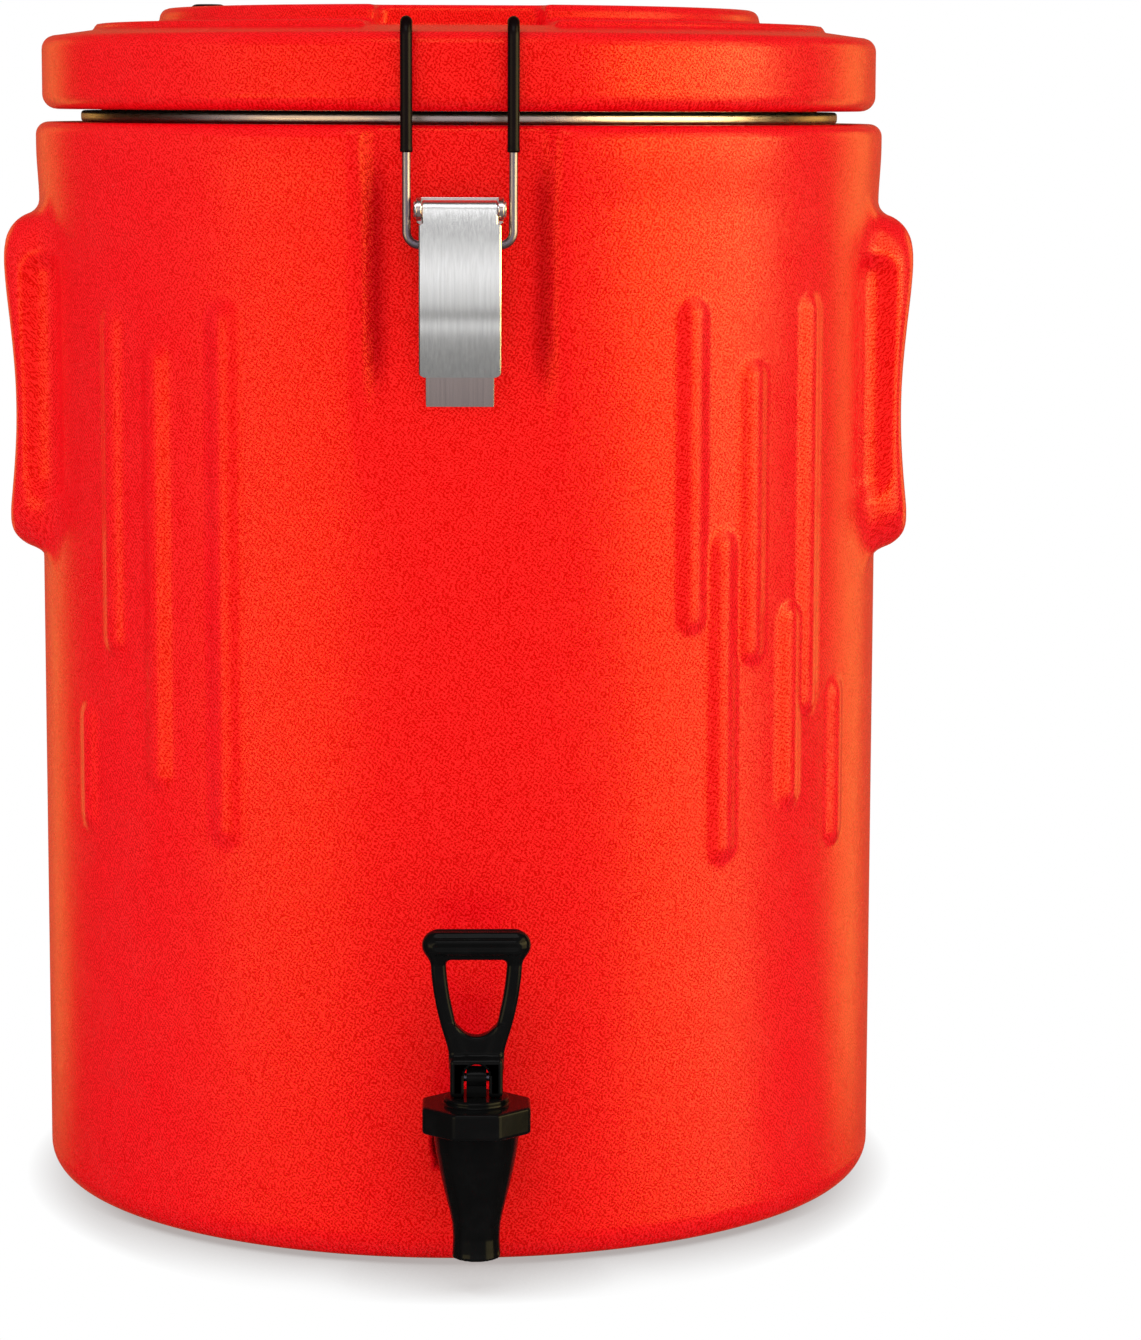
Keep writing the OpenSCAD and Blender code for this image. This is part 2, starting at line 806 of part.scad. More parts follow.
module latch_screws() {
  color("#c9cacd")
    for (step = [0, 1]) {
      translate([0, -plate_r, screw_low_z + step * screw_pitch])
        rotate([-90, 0, 0]) {
          cylinder(h = screw_l, r = screw_r);
          mirror([0, 0, 1]) cylinder(h = screw_head_t, r = screw_head_r);
        }
    }
}

// The lever's strap, a strip of a large cylinder that bulges outwards
module lever_strap(half_w, top_z) {
  intersection() {
    translate([0, -strap_axis_r, strap_mid_z])
      rotate([0, 90, 0])
        difference() {
          cylinder(h = 2 * half_w, r = strap_r, center = true, $fn = 360);
          cylinder(h = 2 * half_w + over, r = strap_r - plate_t, center = true, $fn = 360);
        }
    translate([-half_w, -strap_out_r - lever_bulge - over, hinge_z - lever_l])
      cube([2 * half_w, lever_bulge + 3 * barrel_r, top_z - hinge_z + lever_l]);
  }
}

module latch_lever() {
  cheek_in = plate_r + seat_gap;
  color("#cfd0d3")
    difference() {
      union() {
        lever_strap(lever_w / 2, strap_wide_z);
        lever_strap(barrel_half_w, hinge_z);
        translate([0, -hinge_r, hinge_z]) rotate([0, 90, 0])
          cylinder(h = 2 * barrel_half_w, r = barrel_r, center = true);
        // Cheeks that hold the bail behind the strap
        for (side = [-1, 1]) {
          intersection() {
            translate([side * cheek_x - plate_t / 2, -strap_out_r - lever_bulge, bail_z - cheek_half_h])
              cube([plate_t, strap_out_r + lever_bulge - cheek_in, 2 * cheek_half_h]);
            translate([0, -strap_axis_r, strap_mid_z])
              rotate([0, 90, 0]) cylinder(h = lever_w, r = strap_r - plate_t / 2, center = true, $fn = 360);
          }
        }
      }
      translate([0, -hinge_r, hinge_z])
        rotate([0, 90, 0]) cylinder(h = lever_w, r = hinge_pin_r + run_gap, center = true);
      translate([0, -bail_r, bail_z]) rotate([0, 90, 0])
        cylinder(h = lever_w, r = wire_r + run_gap, center = true);
    }
}

// One side of the bail, from the crossbar's middle to the hook's tip, as a rod of radius r
module bail_rod(r) {
  arm_x = bail_w / 2;
  bend_z = bail_z + bail_bend;
  translate([0, -bail_r, bail_z]) rotate([0, 90, 0]) cylinder(h = arm_x - bail_bend, r = r);
  translate([arm_x - bail_bend, -bail_r, bend_z])
    rotate([90, 0, 0]) rotate([0, 0, -90]) rotate_extrude(angle = 90) translate([bail_bend, 0]) circle(r);
  translate([arm_x, -bail_r, bend_z]) cylinder(h = hook_z - bail_bend - bend_z, r = r);
  bail_hook(r, 0);
}

// The hook at the top of an arm, lengthened by tip
module bail_hook(r, tip) {
  translate([bail_w / 2, -bail_r + bail_bend, hook_z - bail_bend])
    rotate([90, 0, -90]) rotate_extrude(angle = 90) translate([bail_bend, 0]) circle(r);
  translate([bail_w / 2, -bail_r + bail_bend, hook_z])
    rotate([-90, 0, 0]) cylinder(h = bail_r - bail_bend - hook_tip_r + tip, r = r);
}

module latch_bail() {
  color("#a7a3a2") {
    bail_rod(wire_r);
    mirror([1, 0, 0]) bail_rod(wire_r);
  }
}

module latch_sleeves() {
  cap = 1;
  color("#1a0f10")
    for (side = [0, 1]) {
      mirror([side, 0, 0])
        difference() {
          union() {
            translate([bail_w / 2, -bail_r, hook_z - bail_bend - sleeve_l])
              cylinder(h = sleeve_l, r = sleeve_r);
            bail_hook(sleeve_r, cap);
          }
          translate([bail_w / 2, -bail_r, hook_z - bail_bend - sleeve_l - over])
            cylinder(h = sleeve_l + over, r = wire_r + sleeve_fit);
          bail_hook(wire_r + sleeve_fit, sleeve_fit);
        }
    }
}

module front_latch_base() { latch_base(); }
module front_latch_pin() { latch_pin(); }
module front_latch_screws() { latch_screws(); }
module front_lever() { latch_lever(); }
module front_bail() { latch_bail(); }
module front_sleeves() { latch_sleeves(); }
module rear_latch_base() { rotate([0, 0, 180]) latch_base(); }
module rear_latch_pin() { rotate([0, 0, 180]) latch_pin(); }
module rear_latch_screws() { rotate([0, 0, 180]) latch_screws(); }
module rear_lever() { rotate([0, 0, 180]) latch_lever(); }
module rear_bail() { rotate([0, 0, 180]) latch_bail(); }
module rear_sleeves() { rotate([0, 0, 180]) latch_sleeves(); }

// Tap

module at_tap() {
  translate([tap_x, -tap_y, 0]) children();
}

module tap_body() {
  collar_y = tap_seat_y + washer_t;
  color("#0d0d0e")
    difference() {
      union() {
        at_tap()
          rotate_extrude()
            polygon([
              [0, spout_z], [spout_r, spout_z], [spout_r - spout_taper, spout_z + spout_tip_h],
              [valve_r - cone_step, tap_z - cone_drop], [valve_r, bonnet_z], [0, bonnet_z]
            ]);
        tap_passage(shank_r, tap_y, shank_end_y);
        tap_passage(shank_r + neck_step, tap_y, collar_y);
        tap_passage(collar_r, collar_y + washer_t, collar_y);
      }
      at_tap()
        rotate_extrude()
          polygon([
            [0, valve_seat_z], [chamber_low_r, valve_seat_z], [chamber_top_r, bonnet_z - plug_skirt_h - over],
            [chamber_top_r, bonnet_z + over], [0, bonnet_z + over]
          ]);
      at_tap() translate([0, 0, spout_z - over])
        cylinder(h = valve_seat_z - spout_z + 2 * over, r = spout_bore_r);
      tap_passage(shank_bore_r, tap_y, shank_end_y - over);
    }
}

module tap_bonnet() {
  color("#0d0d0e")
    at_tap()
      difference() {
        union() {
          translate([0, 0, bonnet_z])
            rotate([0, 0, 22.5]) cylinder(h = bonnet_h, r = bonnet_af / 2 / cos(22.5), $fn = 8);
          translate([0, 0, bonnet_top]) cylinder(h = boss_h, r = boss_r);
          translate([0, 0, bonnet_z - plug_skirt_h]) cylinder(h = plug_skirt_h, r = plug_skirt_r);
        }
        translate([0, 0, bonnet_z - plug_skirt_h - over])
          cylinder(h = spring_top - bonnet_z + plug_skirt_h + over, r = spring_well_r);
        translate([0, 0, spring_top - over])
          cylinder(h = boss_top - spring_top + 2 * over, r = stem_r + run_gap);
      }
}

module tap_stem() {
  color("#0d0d0e")
    at_tap()
      difference() {
        union() {
          translate([0, 0, stem_low_z]) cylinder(h = tap_pin_z - eye_r - stem_low_z, r = stem_r);
          translate([0, 0, spring_seat - spring_flange_t]) cylinder(h = spring_flange_t, r = spring_flange_r);
          translate([0, 0, tap_pin_z]) rotate([0, 90, 0])
            cylinder(h = 2 * eye_half_w, r = eye_r, center = true);
          translate([-eye_half_w, -stem_r, boss_top + seat_gap])
            cube([2 * eye_half_w, 2 * stem_r, tap_pin_z - boss_top - seat_gap]);
        }
        translate([0, 0, tap_pin_z]) rotate([0, 90, 0])
          cylinder(h = 4 * eye_half_w, r = tap_pin_r, center = true);
      }
}

module tap_seat_cup() {
  skirt_h = spring_seat - spring_flange_t - valve_seat_z - seat_gap - fit_gap;
  color("#e8e6e0")
    at_tap()
      translate([0, 0, valve_seat_z + seat_gap / 3])
        difference() {
          union() {
            cylinder(h = cup_t, r = cup_r);
            cylinder(h = skirt_h, r = stem_r + cup_neck);
          }
          translate([0, 0, stem_low_z - valve_seat_z - fit_gap]) cylinder(h = skirt_h, r = stem_r + fit_gap);
        }
}

// Spring, one tube of six sides wound up between the stem's flange and the bonnet
spring_low = spring_seat + spring_wire_r + fit_gap / 2;
spring_rise = spring_top - fit_gap / 2 - spring_wire_r - spring_low;
RINGS_PER_CURL = 8;
SPRING_SIDES = 6;
spring_rings = spring_curls * RINGS_PER_CURL;

function spring_centre(i) =
  let (turn = 360 * i / RINGS_PER_CURL)
  [spring_r * cos(turn), spring_r * sin(turn), spring_low + spring_rise * i / spring_rings];

function spring_ring(i) =
  let (turn = 360 * i / RINGS_PER_CURL, centre = spring_centre(i))
  [for (j = [0 : SPRING_SIDES - 1])
    let (side = 360 * j / SPRING_SIDES)
    centre + spring_wire_r * [cos(side) * cos(turn), cos(side) * sin(turn), sin(side)]];

spring_points = [for (i = [0 : spring_rings]) each spring_ring(i)];
spring_skin = [
  for (i = [0 : spring_rings - 1], j = [0 : SPRING_SIDES - 1])
    let (a = i * SPRING_SIDES + j, b = i * SPRING_SIDES + (j + 1) % SPRING_SIDES)
    each [[a, b + SPRING_SIDES, b], [a, a + SPRING_SIDES, b + SPRING_SIDES]]
];
spring_caps = [
  for (j = [1 : SPRING_SIDES - 2])
    let (last = spring_rings * SPRING_SIDES)
    each [[0, j, j + 1], [last, last + j + 1, last + j]]
];
spring_self_gap = min([
  for (i = [0 : spring_rings - RINGS_PER_CURL])
    norm(spring_centre(i + RINGS_PER_CURL) - spring_centre(i)) - 2 * spring_wire_r
]);
echo(str("least gap between the curls of tap_spring, mm: ", spring_self_gap));

module tap_spring() {
  color("#b4b4b6")
    at_tap() polyhedron(points = spring_points, faces = concat(spring_skin, spring_caps));
}

// Centre of the circle through three points
function circle_centre(a, b, c) =
  let (
    d = 2 * (a[0] * (b[1] - c[1]) + b[0] * (c[1] - a[1]) + c[0] * (a[1] - b[1])),
    x = (a * a) * (b[1] - c[1]) + (b * b) * (c[1] - a[1]) + (c * c) * (a[1] - b[1]),
    y = (a * a) * (c[0] - b[0]) + (b * b) * (a[0] - c[0]) + (c * c) * (b[0] - a[0])
  )
  [x / d, y / d];

// One arm of the loop, a round bar bent along a circle
module loop_arm() {
  centre = circle_centre(arm_top, arm_mid, arm_low);
  bend_r = norm(arm_top - centre);
  low = atan2(arm_low[1] - centre[1], arm_low[0] - centre[0]);
  high = atan2(arm_top[1] - centre[1], arm_top[0] - centre[0]);
  translate([centre[0], 0, centre[1]])
    rotate([90, 0, 0]) rotate([0, 0, low])
      rotate_extrude(angle = high - low) translate([bend_r, 0]) circle(arm_r);
}

module tap_handle() {
  slot_top = tap_pin_z + eye_r + slot_gap;
  crotch_r = fork_half_w - 1.4 * arm_r;
  crotch_z = fork_top_z + crotch_rise + crotch_r;
  color("#0d0d0e")
    at_tap()
      difference() {
        union() {
          translate([-bar_w / 2, 0, bar_z]) rotate([0, 90, 0]) capsule(bar_r, bar_w);
          for (side = [0, 1]) {
            mirror([side, 0, 0]) loop_arm();
          }
          translate([-fork_half_w, -fork_half_d, fork_low_z])
            cube([2 * fork_half_w, 2 * fork_half_d, fork_top_z - fork_low_z]);
          translate([-fork_half_w, -arm_r, fork_top_z])
            cube([2 * fork_half_w, 2 * arm_r, crotch_z - crotch_r / 2 - fork_top_z]);
        }
        // Round bottom of the loop's opening
        translate([0, 0, crotch_z]) rotate([90, 0, 0]) cylinder(h = 3 * arm_r, r = crotch_r, center = true);
        translate([-fork_in, -fork_half_d - over, fork_low_z - over])
          cube([2 * fork_in, 2 * (fork_half_d + over), slot_top - fork_in - fork_low_z + over]);
        translate([0, 0, slot_top - fork_in])
          rotate([90, 0, 0]) cylinder(h = 2 * (fork_half_d + over), r = fork_in, center = true);
        translate([0, 0, tap_pin_z])
          rotate([0, 90, 0]) cylinder(h = 3 * fork_half_w, r = tap_pin_r + run_gap, center = true);
      }
}

module tap_handle_pin() {
  color("#b4b4b6")
    at_tap()
      translate([0, 0, tap_pin_z]) rotate([0, 90, 0])
        cylinder(h = 2 * fork_half_w, r = tap_pin_r, center = true);
}

module tap_outer_washer() {
  color("#222224")
    difference() {
      tap_passage(collar_r, tap_seat_y + washer_t, tap_seat_y);
      tap_passage(shank_r + fit_gap, tap_seat_y + washer_t + over, tap_seat_y - over);
    }
}

module tap_inner_washer() {
  color("#e8e6e0")
    difference() {
      tap_passage(collar_r - over, inner_wall_y, inner_wall_y - washer_t);
      tap_passage(shank_r + fit_gap, inner_wall_y + over, inner_wall_y - washer_t - over);
    }
}

module tap_nut() {
  nut_y = inner_wall_y - washer_t;
  color("#0d0d0e")
    difference() {
      translate([tap_x, -nut_y, tap_z])
        rotate([-90, 0, 0]) cylinder(h = nut_t, r = nut_af / 2 / cos(30), $fn = 6);
      tap_passage(shank_r + fit_gap, nut_y + over, nut_y - nut_t - over);
    }
}

outer_shell();
body_foam();
inner_liner();
base_plug();
lid_shell();
lid_foam();
lid_gasket();
vent_seat();
vent_plug();
front_latch_base();
front_latch_pin();
front_latch_screws();
front_lever();
front_bail();
front_sleeves();
rear_latch_base();
rear_latch_pin();
rear_latch_screws();
rear_lever();
rear_bail();
rear_sleeves();
tap_body();
tap_bonnet();
tap_stem();
tap_seat_cup();
tap_spring();
tap_handle();
tap_handle_pin();
tap_outer_washer();
tap_inner_washer();
tap_nut();
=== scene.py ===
"""Looks of an insulated drink cooler: a moulded barrel with a clamped lid, toggle latches and a tap.

The classes hold sizes in millimetres, and meshes are made in metres. The origin is the centre of the base,
+Z is up and the tap is at the front, on -Y.
"""

from __future__ import annotations

import logging
import math
from dataclasses import dataclass
from enum import Enum
from typing import Callable, Sequence

import bmesh
import bpy
import numpy as np
from mathutils import Matrix, Vector

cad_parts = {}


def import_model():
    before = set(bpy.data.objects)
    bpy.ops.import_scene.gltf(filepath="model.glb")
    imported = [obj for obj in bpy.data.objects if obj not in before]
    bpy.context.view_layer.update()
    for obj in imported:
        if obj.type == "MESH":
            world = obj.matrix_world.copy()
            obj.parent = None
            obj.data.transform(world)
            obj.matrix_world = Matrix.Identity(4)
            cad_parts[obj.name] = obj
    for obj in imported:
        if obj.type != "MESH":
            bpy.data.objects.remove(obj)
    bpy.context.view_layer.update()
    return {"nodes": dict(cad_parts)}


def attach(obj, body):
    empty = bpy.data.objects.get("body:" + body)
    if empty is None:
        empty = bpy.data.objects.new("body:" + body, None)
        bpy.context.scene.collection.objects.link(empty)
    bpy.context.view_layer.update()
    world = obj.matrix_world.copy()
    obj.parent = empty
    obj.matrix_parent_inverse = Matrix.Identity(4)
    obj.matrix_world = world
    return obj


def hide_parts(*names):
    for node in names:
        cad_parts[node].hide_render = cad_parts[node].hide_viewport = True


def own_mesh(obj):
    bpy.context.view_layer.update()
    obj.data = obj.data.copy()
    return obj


log = logging.getLogger("cooler")
MM = 0.001
Array = np.ndarray
Distance = Callable[[Array, Array, Array], Array]
Pair = tuple[float, float]
Grid = tuple[tuple[float, ...], ...]
Colour = tuple[float, float, float]
Socket = bpy.types.NodeSocket
Paint = Colour | Socket
WHITE: Colour = (1.0, 1.0, 1.0)
UNIT: Pair = (0.0, 1.0)
NOISE_RANGE: Pair = (0.3, 0.7)


class Body(Enum):
    """The CAD bodies that pieces ride on."""

    BARREL = "barrel"
    LID = "lid"
    FRONT_LEVER = "front_latch_lever"
    FRONT_BAIL = "front_latch_bail"
    REAR_LEVER = "rear_latch_lever"
    REAR_BAIL = "rear_latch_bail"
    TAP_LEVER = "tap_lever"


class Slot(Enum):
    """The record's material slots."""

    RED_SHELL = "red_shell"
    RED_LID = "red_lid"
    FOAM = "foam"
    LINER_STEEL = "liner_steel"
    LATCH_STEEL = "latch_steel"
    BAIL_WIRE = "bail_wire"
    BLACK_VINYL = "black_vinyl"
    BLACK_PLASTIC = "black_plastic"
    DARK_RUBBER = "dark_rubber"
    SILICONE = "silicone"


class Side(Enum):
    """The side of the barrel that a latch is on, with the turn that brings the front latch there."""

    FRONT = 0
    REAR = 180


class Glow(Enum):
    """What a studio light is for."""

    ALL = "all"
    MIRRORED = "reflections only"
    DIFFUSE = "diffuse light only"


# Finishes


class Graph:
    """The node tree of a material or of the world, filled one node at a time."""

    def __init__(self, owner: bpy.types.Material | bpy.types.World) -> None:
        """Empties the owner's node tree.

        Args:
            owner: The material or the world.
        """
        owner.use_nodes = True
        self.owner = owner
        self.tree = owner.node_tree
        self.tree.nodes.clear()

    def node(self, kind: str, inputs: dict | None = None, **settings: object) -> bpy.types.Node:
        """Adds a node.

        Args:
            kind: The node's type name, without the words ShaderNode.
            inputs: Values or sockets for its inputs, by name or index.
            **settings: Properties of the node.

        Returns:
            The new node.
        """
        made = self.tree.nodes.new("ShaderNode" + kind)
        for name, value in settings.items():
            setattr(made, name, value)
        for key, value in (inputs or {}).items():
            if isinstance(value, Socket):
                self.tree.links.new(value, made.inputs[key])
            else:
                made.inputs[key].default_value = value
        return made

    def coords(self, scale: Sequence[float] = (1, 1, 1)) -> Socket:
        """Gives the object's own coordinates, times a factor for each axis."""
        place = self.node("TexCoord").outputs["Object"]
        return self.node("Mapping", {"Vector": place, "Scale": tuple(scale)}).outputs["Vector"]

    def noise(self, scale: float, detail: float, stretch: Sequence[float] = (1, 1, 1)) -> Socket:
        """Adds a noise texture in object coordinates.

        Args:
            scale: Features per metre.
            detail: Octaves of finer noise.
            stretch: A factor for each axis.

        Returns:
            The noise, about 0 to 1.
        """
        inputs = {"Vector": self.coords(stretch), "Scale": scale, "Detail": detail}
        return self.node("TexNoise", inputs).outputs["Fac"]

    def patches(self, scale: float, detail: float, to: Pair = UNIT) -> Socket:
        """Adds noise whose usual range is mapped to another one."""
        return self.ramp(self.noise(scale, detail), *NOISE_RANGE, to)

    def math(self, operation: str, *values: Socket | float) -> Socket:
        """Adds a math node and gives its result."""
        return self.node("Math", dict(enumerate(values)), operation=operation).outputs[0]

    def vector(self, operation: str, *values: Paint) -> Socket:
        """Adds a vector math node and gives its result, a number for a length or a dot product."""
        made = self.node("VectorMath", dict(enumerate(values)), operation=operation)
        return made.outputs["Value" if operation in ("LENGTH", "DOT_PRODUCT") else "Vector"]

    def ramp(self, value: Socket, low: float, high: float, to: Pair = UNIT) -> Socket:
        """Maps a value from one range to another, held at the ends.

        Args:
            value: The value to map.
            low: Where the source range starts.
            high: Where the source range ends.
            to: The two ends of the new range.

        Returns:
            The mapped value.
        """
        inputs = {"Value": value, "From Min": low, "From Max": high, "To Min": to[0], "To Max": to[1]}
        return self.node("MapRange", inputs).outputs["Result"]

    def mix(self, factor: Socket, first: Paint, second: Paint) -> Socket:
        """Mixes two colours.

        Args:
            factor: The share of the second colour.
            first: A linear colour.
            second: Another linear colour.

        Returns:
            The mixed colour.
        """
        inputs: dict = {0: factor}
        for slot, paint in ((6, first), (7, second)):
            inputs[slot] = (*paint, 1) if isinstance(paint, tuple) else paint
        return self.node("Mix", inputs, data_type="RGBA").outputs[2]

    def bump(self, height: Socket, strength: float, distance: float) -> Socket:
        """Turns a height, whose full step is a distance in metres, into a bumped normal."""
        inputs = {"Height": height, "Strength": strength, "Distance": distance}
        return self.node("Bump", inputs).outputs["Normal"]

    def finish(self, **inputs: object) -> bpy.types.Material:
        """Ends the tree in a principled shader.

        Args:
            **inputs: The shader's inputs, with an underscore for each space.

        Returns:
            The material.
        """
        named = {key.replace("_", " "): value for key, value in inputs.items()}
        shader = self.node("BsdfPrincipled", named)
        output = self.node("OutputMaterial")
        self.tree.links.new(shader.outputs[0], output.inputs[0])
        return self.owner


@dataclass(frozen=True)
class MouldedPlastic:
    """Rotational-moulded polyethylene with a wrinkled grain.

    Attributes:
        name: The material's name.
        colour: The pigment's linear colour.
        warm: The colour that the pigment leans to in patches.
        sheen: Tint of the highlights.
        groove: Share of each colour that is left in the grain's grooves, as painted shade there.
        gloss: Strength of the highlights in the grooves and on the ridges.
        roughness: Least and greatest roughness.
        grain: Height of the grain, in metres.
        relief: Strength of the grain's bump.
        shade: Share of the colour that is left where shade is painted into corners.
        dull: Share of the highlights that is left in that painted shade.
        pitch: Distance between wrinkles, in metres.
        wrap: Radius at which the wrinkles have that distance round the Z axis, in metres.
        waves: How many directions the wrinkles run in.
        lead: Turn of the first direction, as a share of the step between two.
        drift: How far their waves wander, in radians.
        wander: Features of that wandering per metre.
        seed: What the wandering is drawn from.
        ends: The waves' sums at which a groove is full and a ridge is full.
        warm_scale: Patches of the warmer colour per metre.
        rough_scale: Patches of roughness per metre.
    """

    name: str
    colour: Colour
    warm: Colour
    sheen: Colour = (1.0, 0.25, 0.05)
    groove: Colour = (0.66, 0.12, 0.12)
    gloss: Pair = (0.16, 0.64)
    roughness: Pair = (0.22, 0.29)
    grain: float = 0.00005
    relief: float = 0.35
    shade: float = 0.55
    dull: float = 0.16
    pitch: float = 0.00135
    wrap: float = 0.169
    waves: int = 5
    lead: float = 0.3
    drift: float = 16.0
    wander: float = 220.0
    seed: int = 3
    ends: Pair = (-1.1, 0.7)
    warm_scale: float = 9.0
    rough_scale: float = 60.0

    def wrinkles(self, graph: Graph) -> Socket:
        """Adds waves that run in several directions over the skin and wander.

        Args:
            graph: The material's node tree.

        Returns:
            The waves' sum, about -2 to 2.
        """
        place = graph.coords()
        x, y, z = graph.node("SeparateXYZ", {0: place}).outputs
        turn = graph.math("ARCTAN2", x, graph.math("MULTIPLY", y, -1.0))
        away = graph.vector("LENGTH", graph.node("CombineXYZ", {"X": x, "Y": y}).outputs[0])
        around = graph.math("MULTIPLY", turn, self.wrap)
        rise = graph.math("SUBTRACT", z, away)
        skin = graph.node("CombineXYZ", {"X": around, "Y": rise}).outputs[0]
        drawn = {"Vector": place, "Scale": self.wander, "Detail": 1.0}
        wander = graph.node("TexNoise", drawn).outputs["Color"]
        shifts = np.random.default_rng(self.seed).normal(size=(self.waves, 3)) * self.drift
        steep = 2 * math.pi / self.pitch
        total: Socket | float = 0.0
        for index, shift in enumerate(shifts):
            way = math.pi * (index + self.lead) / self.waves
            slope = (steep * math.cos(way), steep * math.sin(way), 0.0)
            along = graph.vector("DOT_PRODUCT", skin, slope)
            late = graph.vector("DOT_PRODUCT", wander, tuple(shift))
            wave = graph.math("COSINE", graph.math("ADD", along, late))
            total = graph.math("ADD", total, wave)
        return total

    def build(self) -> bpy.types.Material:
        """Makes the material.

        Returns:
            The material.
        """
        graph = Graph(bpy.data.materials.new(self.name))
        crease = graph.ramp(self.wrinkles(graph), *self.ends)
        skin = graph.mix(graph.patches(self.warm_scale, 3.0), self.colour, self.warm)
        # Painted shade: the corners' shade stored on the mesh darkens the colour and dims the highlights.
        hollow = graph.node("Attribute", attribute_name=MeshData.PAINTED_SHADE).outputs["Fac"]
        depth = graph.ramp(hollow, *UNIT, (1.0, self.shade))
        # Painted shade: the grain's grooves are darkened in the colour.
        shade = graph.vector("MULTIPLY", depth, graph.mix(crease, self.groove, WHITE))
        bright = graph.ramp(crease, *UNIT, self.gloss)
        return graph.finish(
            Base_Color=graph.vector("MULTIPLY", skin, shade),
            Roughness=graph.patches(self.rough_scale, 2.0, self.roughness),
            Specular_IOR_Level=graph.math("MULTIPLY", bright, graph.ramp(hollow, *UNIT, (1.0, self.dull))),
            Specular_Tint=(*self.sheen, 1),
            Normal=graph.bump(crease, self.relief, self.grain),
        )


@dataclass(frozen=True)
class BrushedSteel:
    """Stainless steel sheet with brush lines.

    Attributes:
        name: The material's name.
        colour: The metal's linear colour.
        stretch: How much the lines are drawn out along each axis; a small factor draws them out.
        roughness: Least and greatest roughness.
        depth: Height of the lines, in metres.
        relief: Strength of the lines' bump.
        line_scale: Fine lines per metre.
        band_scale: Broad bands per metre.
        dark: Share of the colour in the dark bands.
    """

    name: str
    colour: Colour = (0.80, 0.80, 0.81)
    stretch: tuple[float, float, float] = (1.0, 1.0, 0.012)
    roughness: Pair = (0.20, 0.27)
    depth: float = 0.00002
    relief: float = 0.35
    line_scale: float = 2600.0
    band_scale: float = 1100.0
    dark: float = 0.88

    def build(self) -> bpy.types.Material:
        """Makes the material.

        Returns:
            The material.
        """
        graph = Graph(bpy.data.materials.new(self.name))
        lines = graph.noise(self.line_scale, 3.0, self.stretch)
        bands = graph.noise(self.band_scale, 2.0, self.stretch)
        dark = tuple(self.dark * c for c in self.colour)
        return graph.finish(
            Base_Color=graph.mix(graph.ramp(bands, *NOISE_RANGE), dark, self.colour),
            Metallic=1.0,
            Roughness=graph.ramp(lines, *NOISE_RANGE, self.roughness),
            Normal=graph.bump(lines, self.relief, self.depth),
        )


@dataclass(frozen=True)
class SmoothCoat:
    """A smooth plastic, rubber or vinyl with faint unevenness and dust.

    Attributes:
        name: The material's name.
        colour: The linear colour.
        dusty: The colour where fine dust lies.
        roughness: Least and greatest roughness.
        ripple: Height of the surface's unevenness, in metres.
        scale: Features of the unevenness per metre.
        shine: Strength of the reflections; 0.5 is plain plastic.
        relief: Strength of the unevenness as a bump.
        dust_scale: Patches of dust per metre.
        dust_ends: The noise at which dust starts and is full.
        rough_scale: Patches of roughness per metre.
    """

    name: str
    colour: Colour
    dusty: Colour
    roughness: Pair
    ripple: float = 0.00004
    scale: float = 260.0
    shine: float = 0.5
    relief: float = 0.4
    dust_scale: float = 120.0
    dust_ends: Pair = (0.5, 0.8)
    rough_scale: float = 90.0

    def build(self) -> bpy.types.Material:
        """Makes the material.

        Returns:
            The material.
        """
        graph = Graph(bpy.data.materials.new(self.name))
        dust = graph.ramp(graph.noise(self.dust_scale, 4.0), *self.dust_ends)
        return graph.finish(
            Base_Color=graph.mix(dust, self.colour, self.dusty),
            Roughness=graph.patches(self.rough_scale, 3.0, self.roughness),
            Specular_IOR_Level=self.shine,
            Normal=graph.bump(graph.noise(self.scale, 2.0), self.relief, self.ripple),
        )


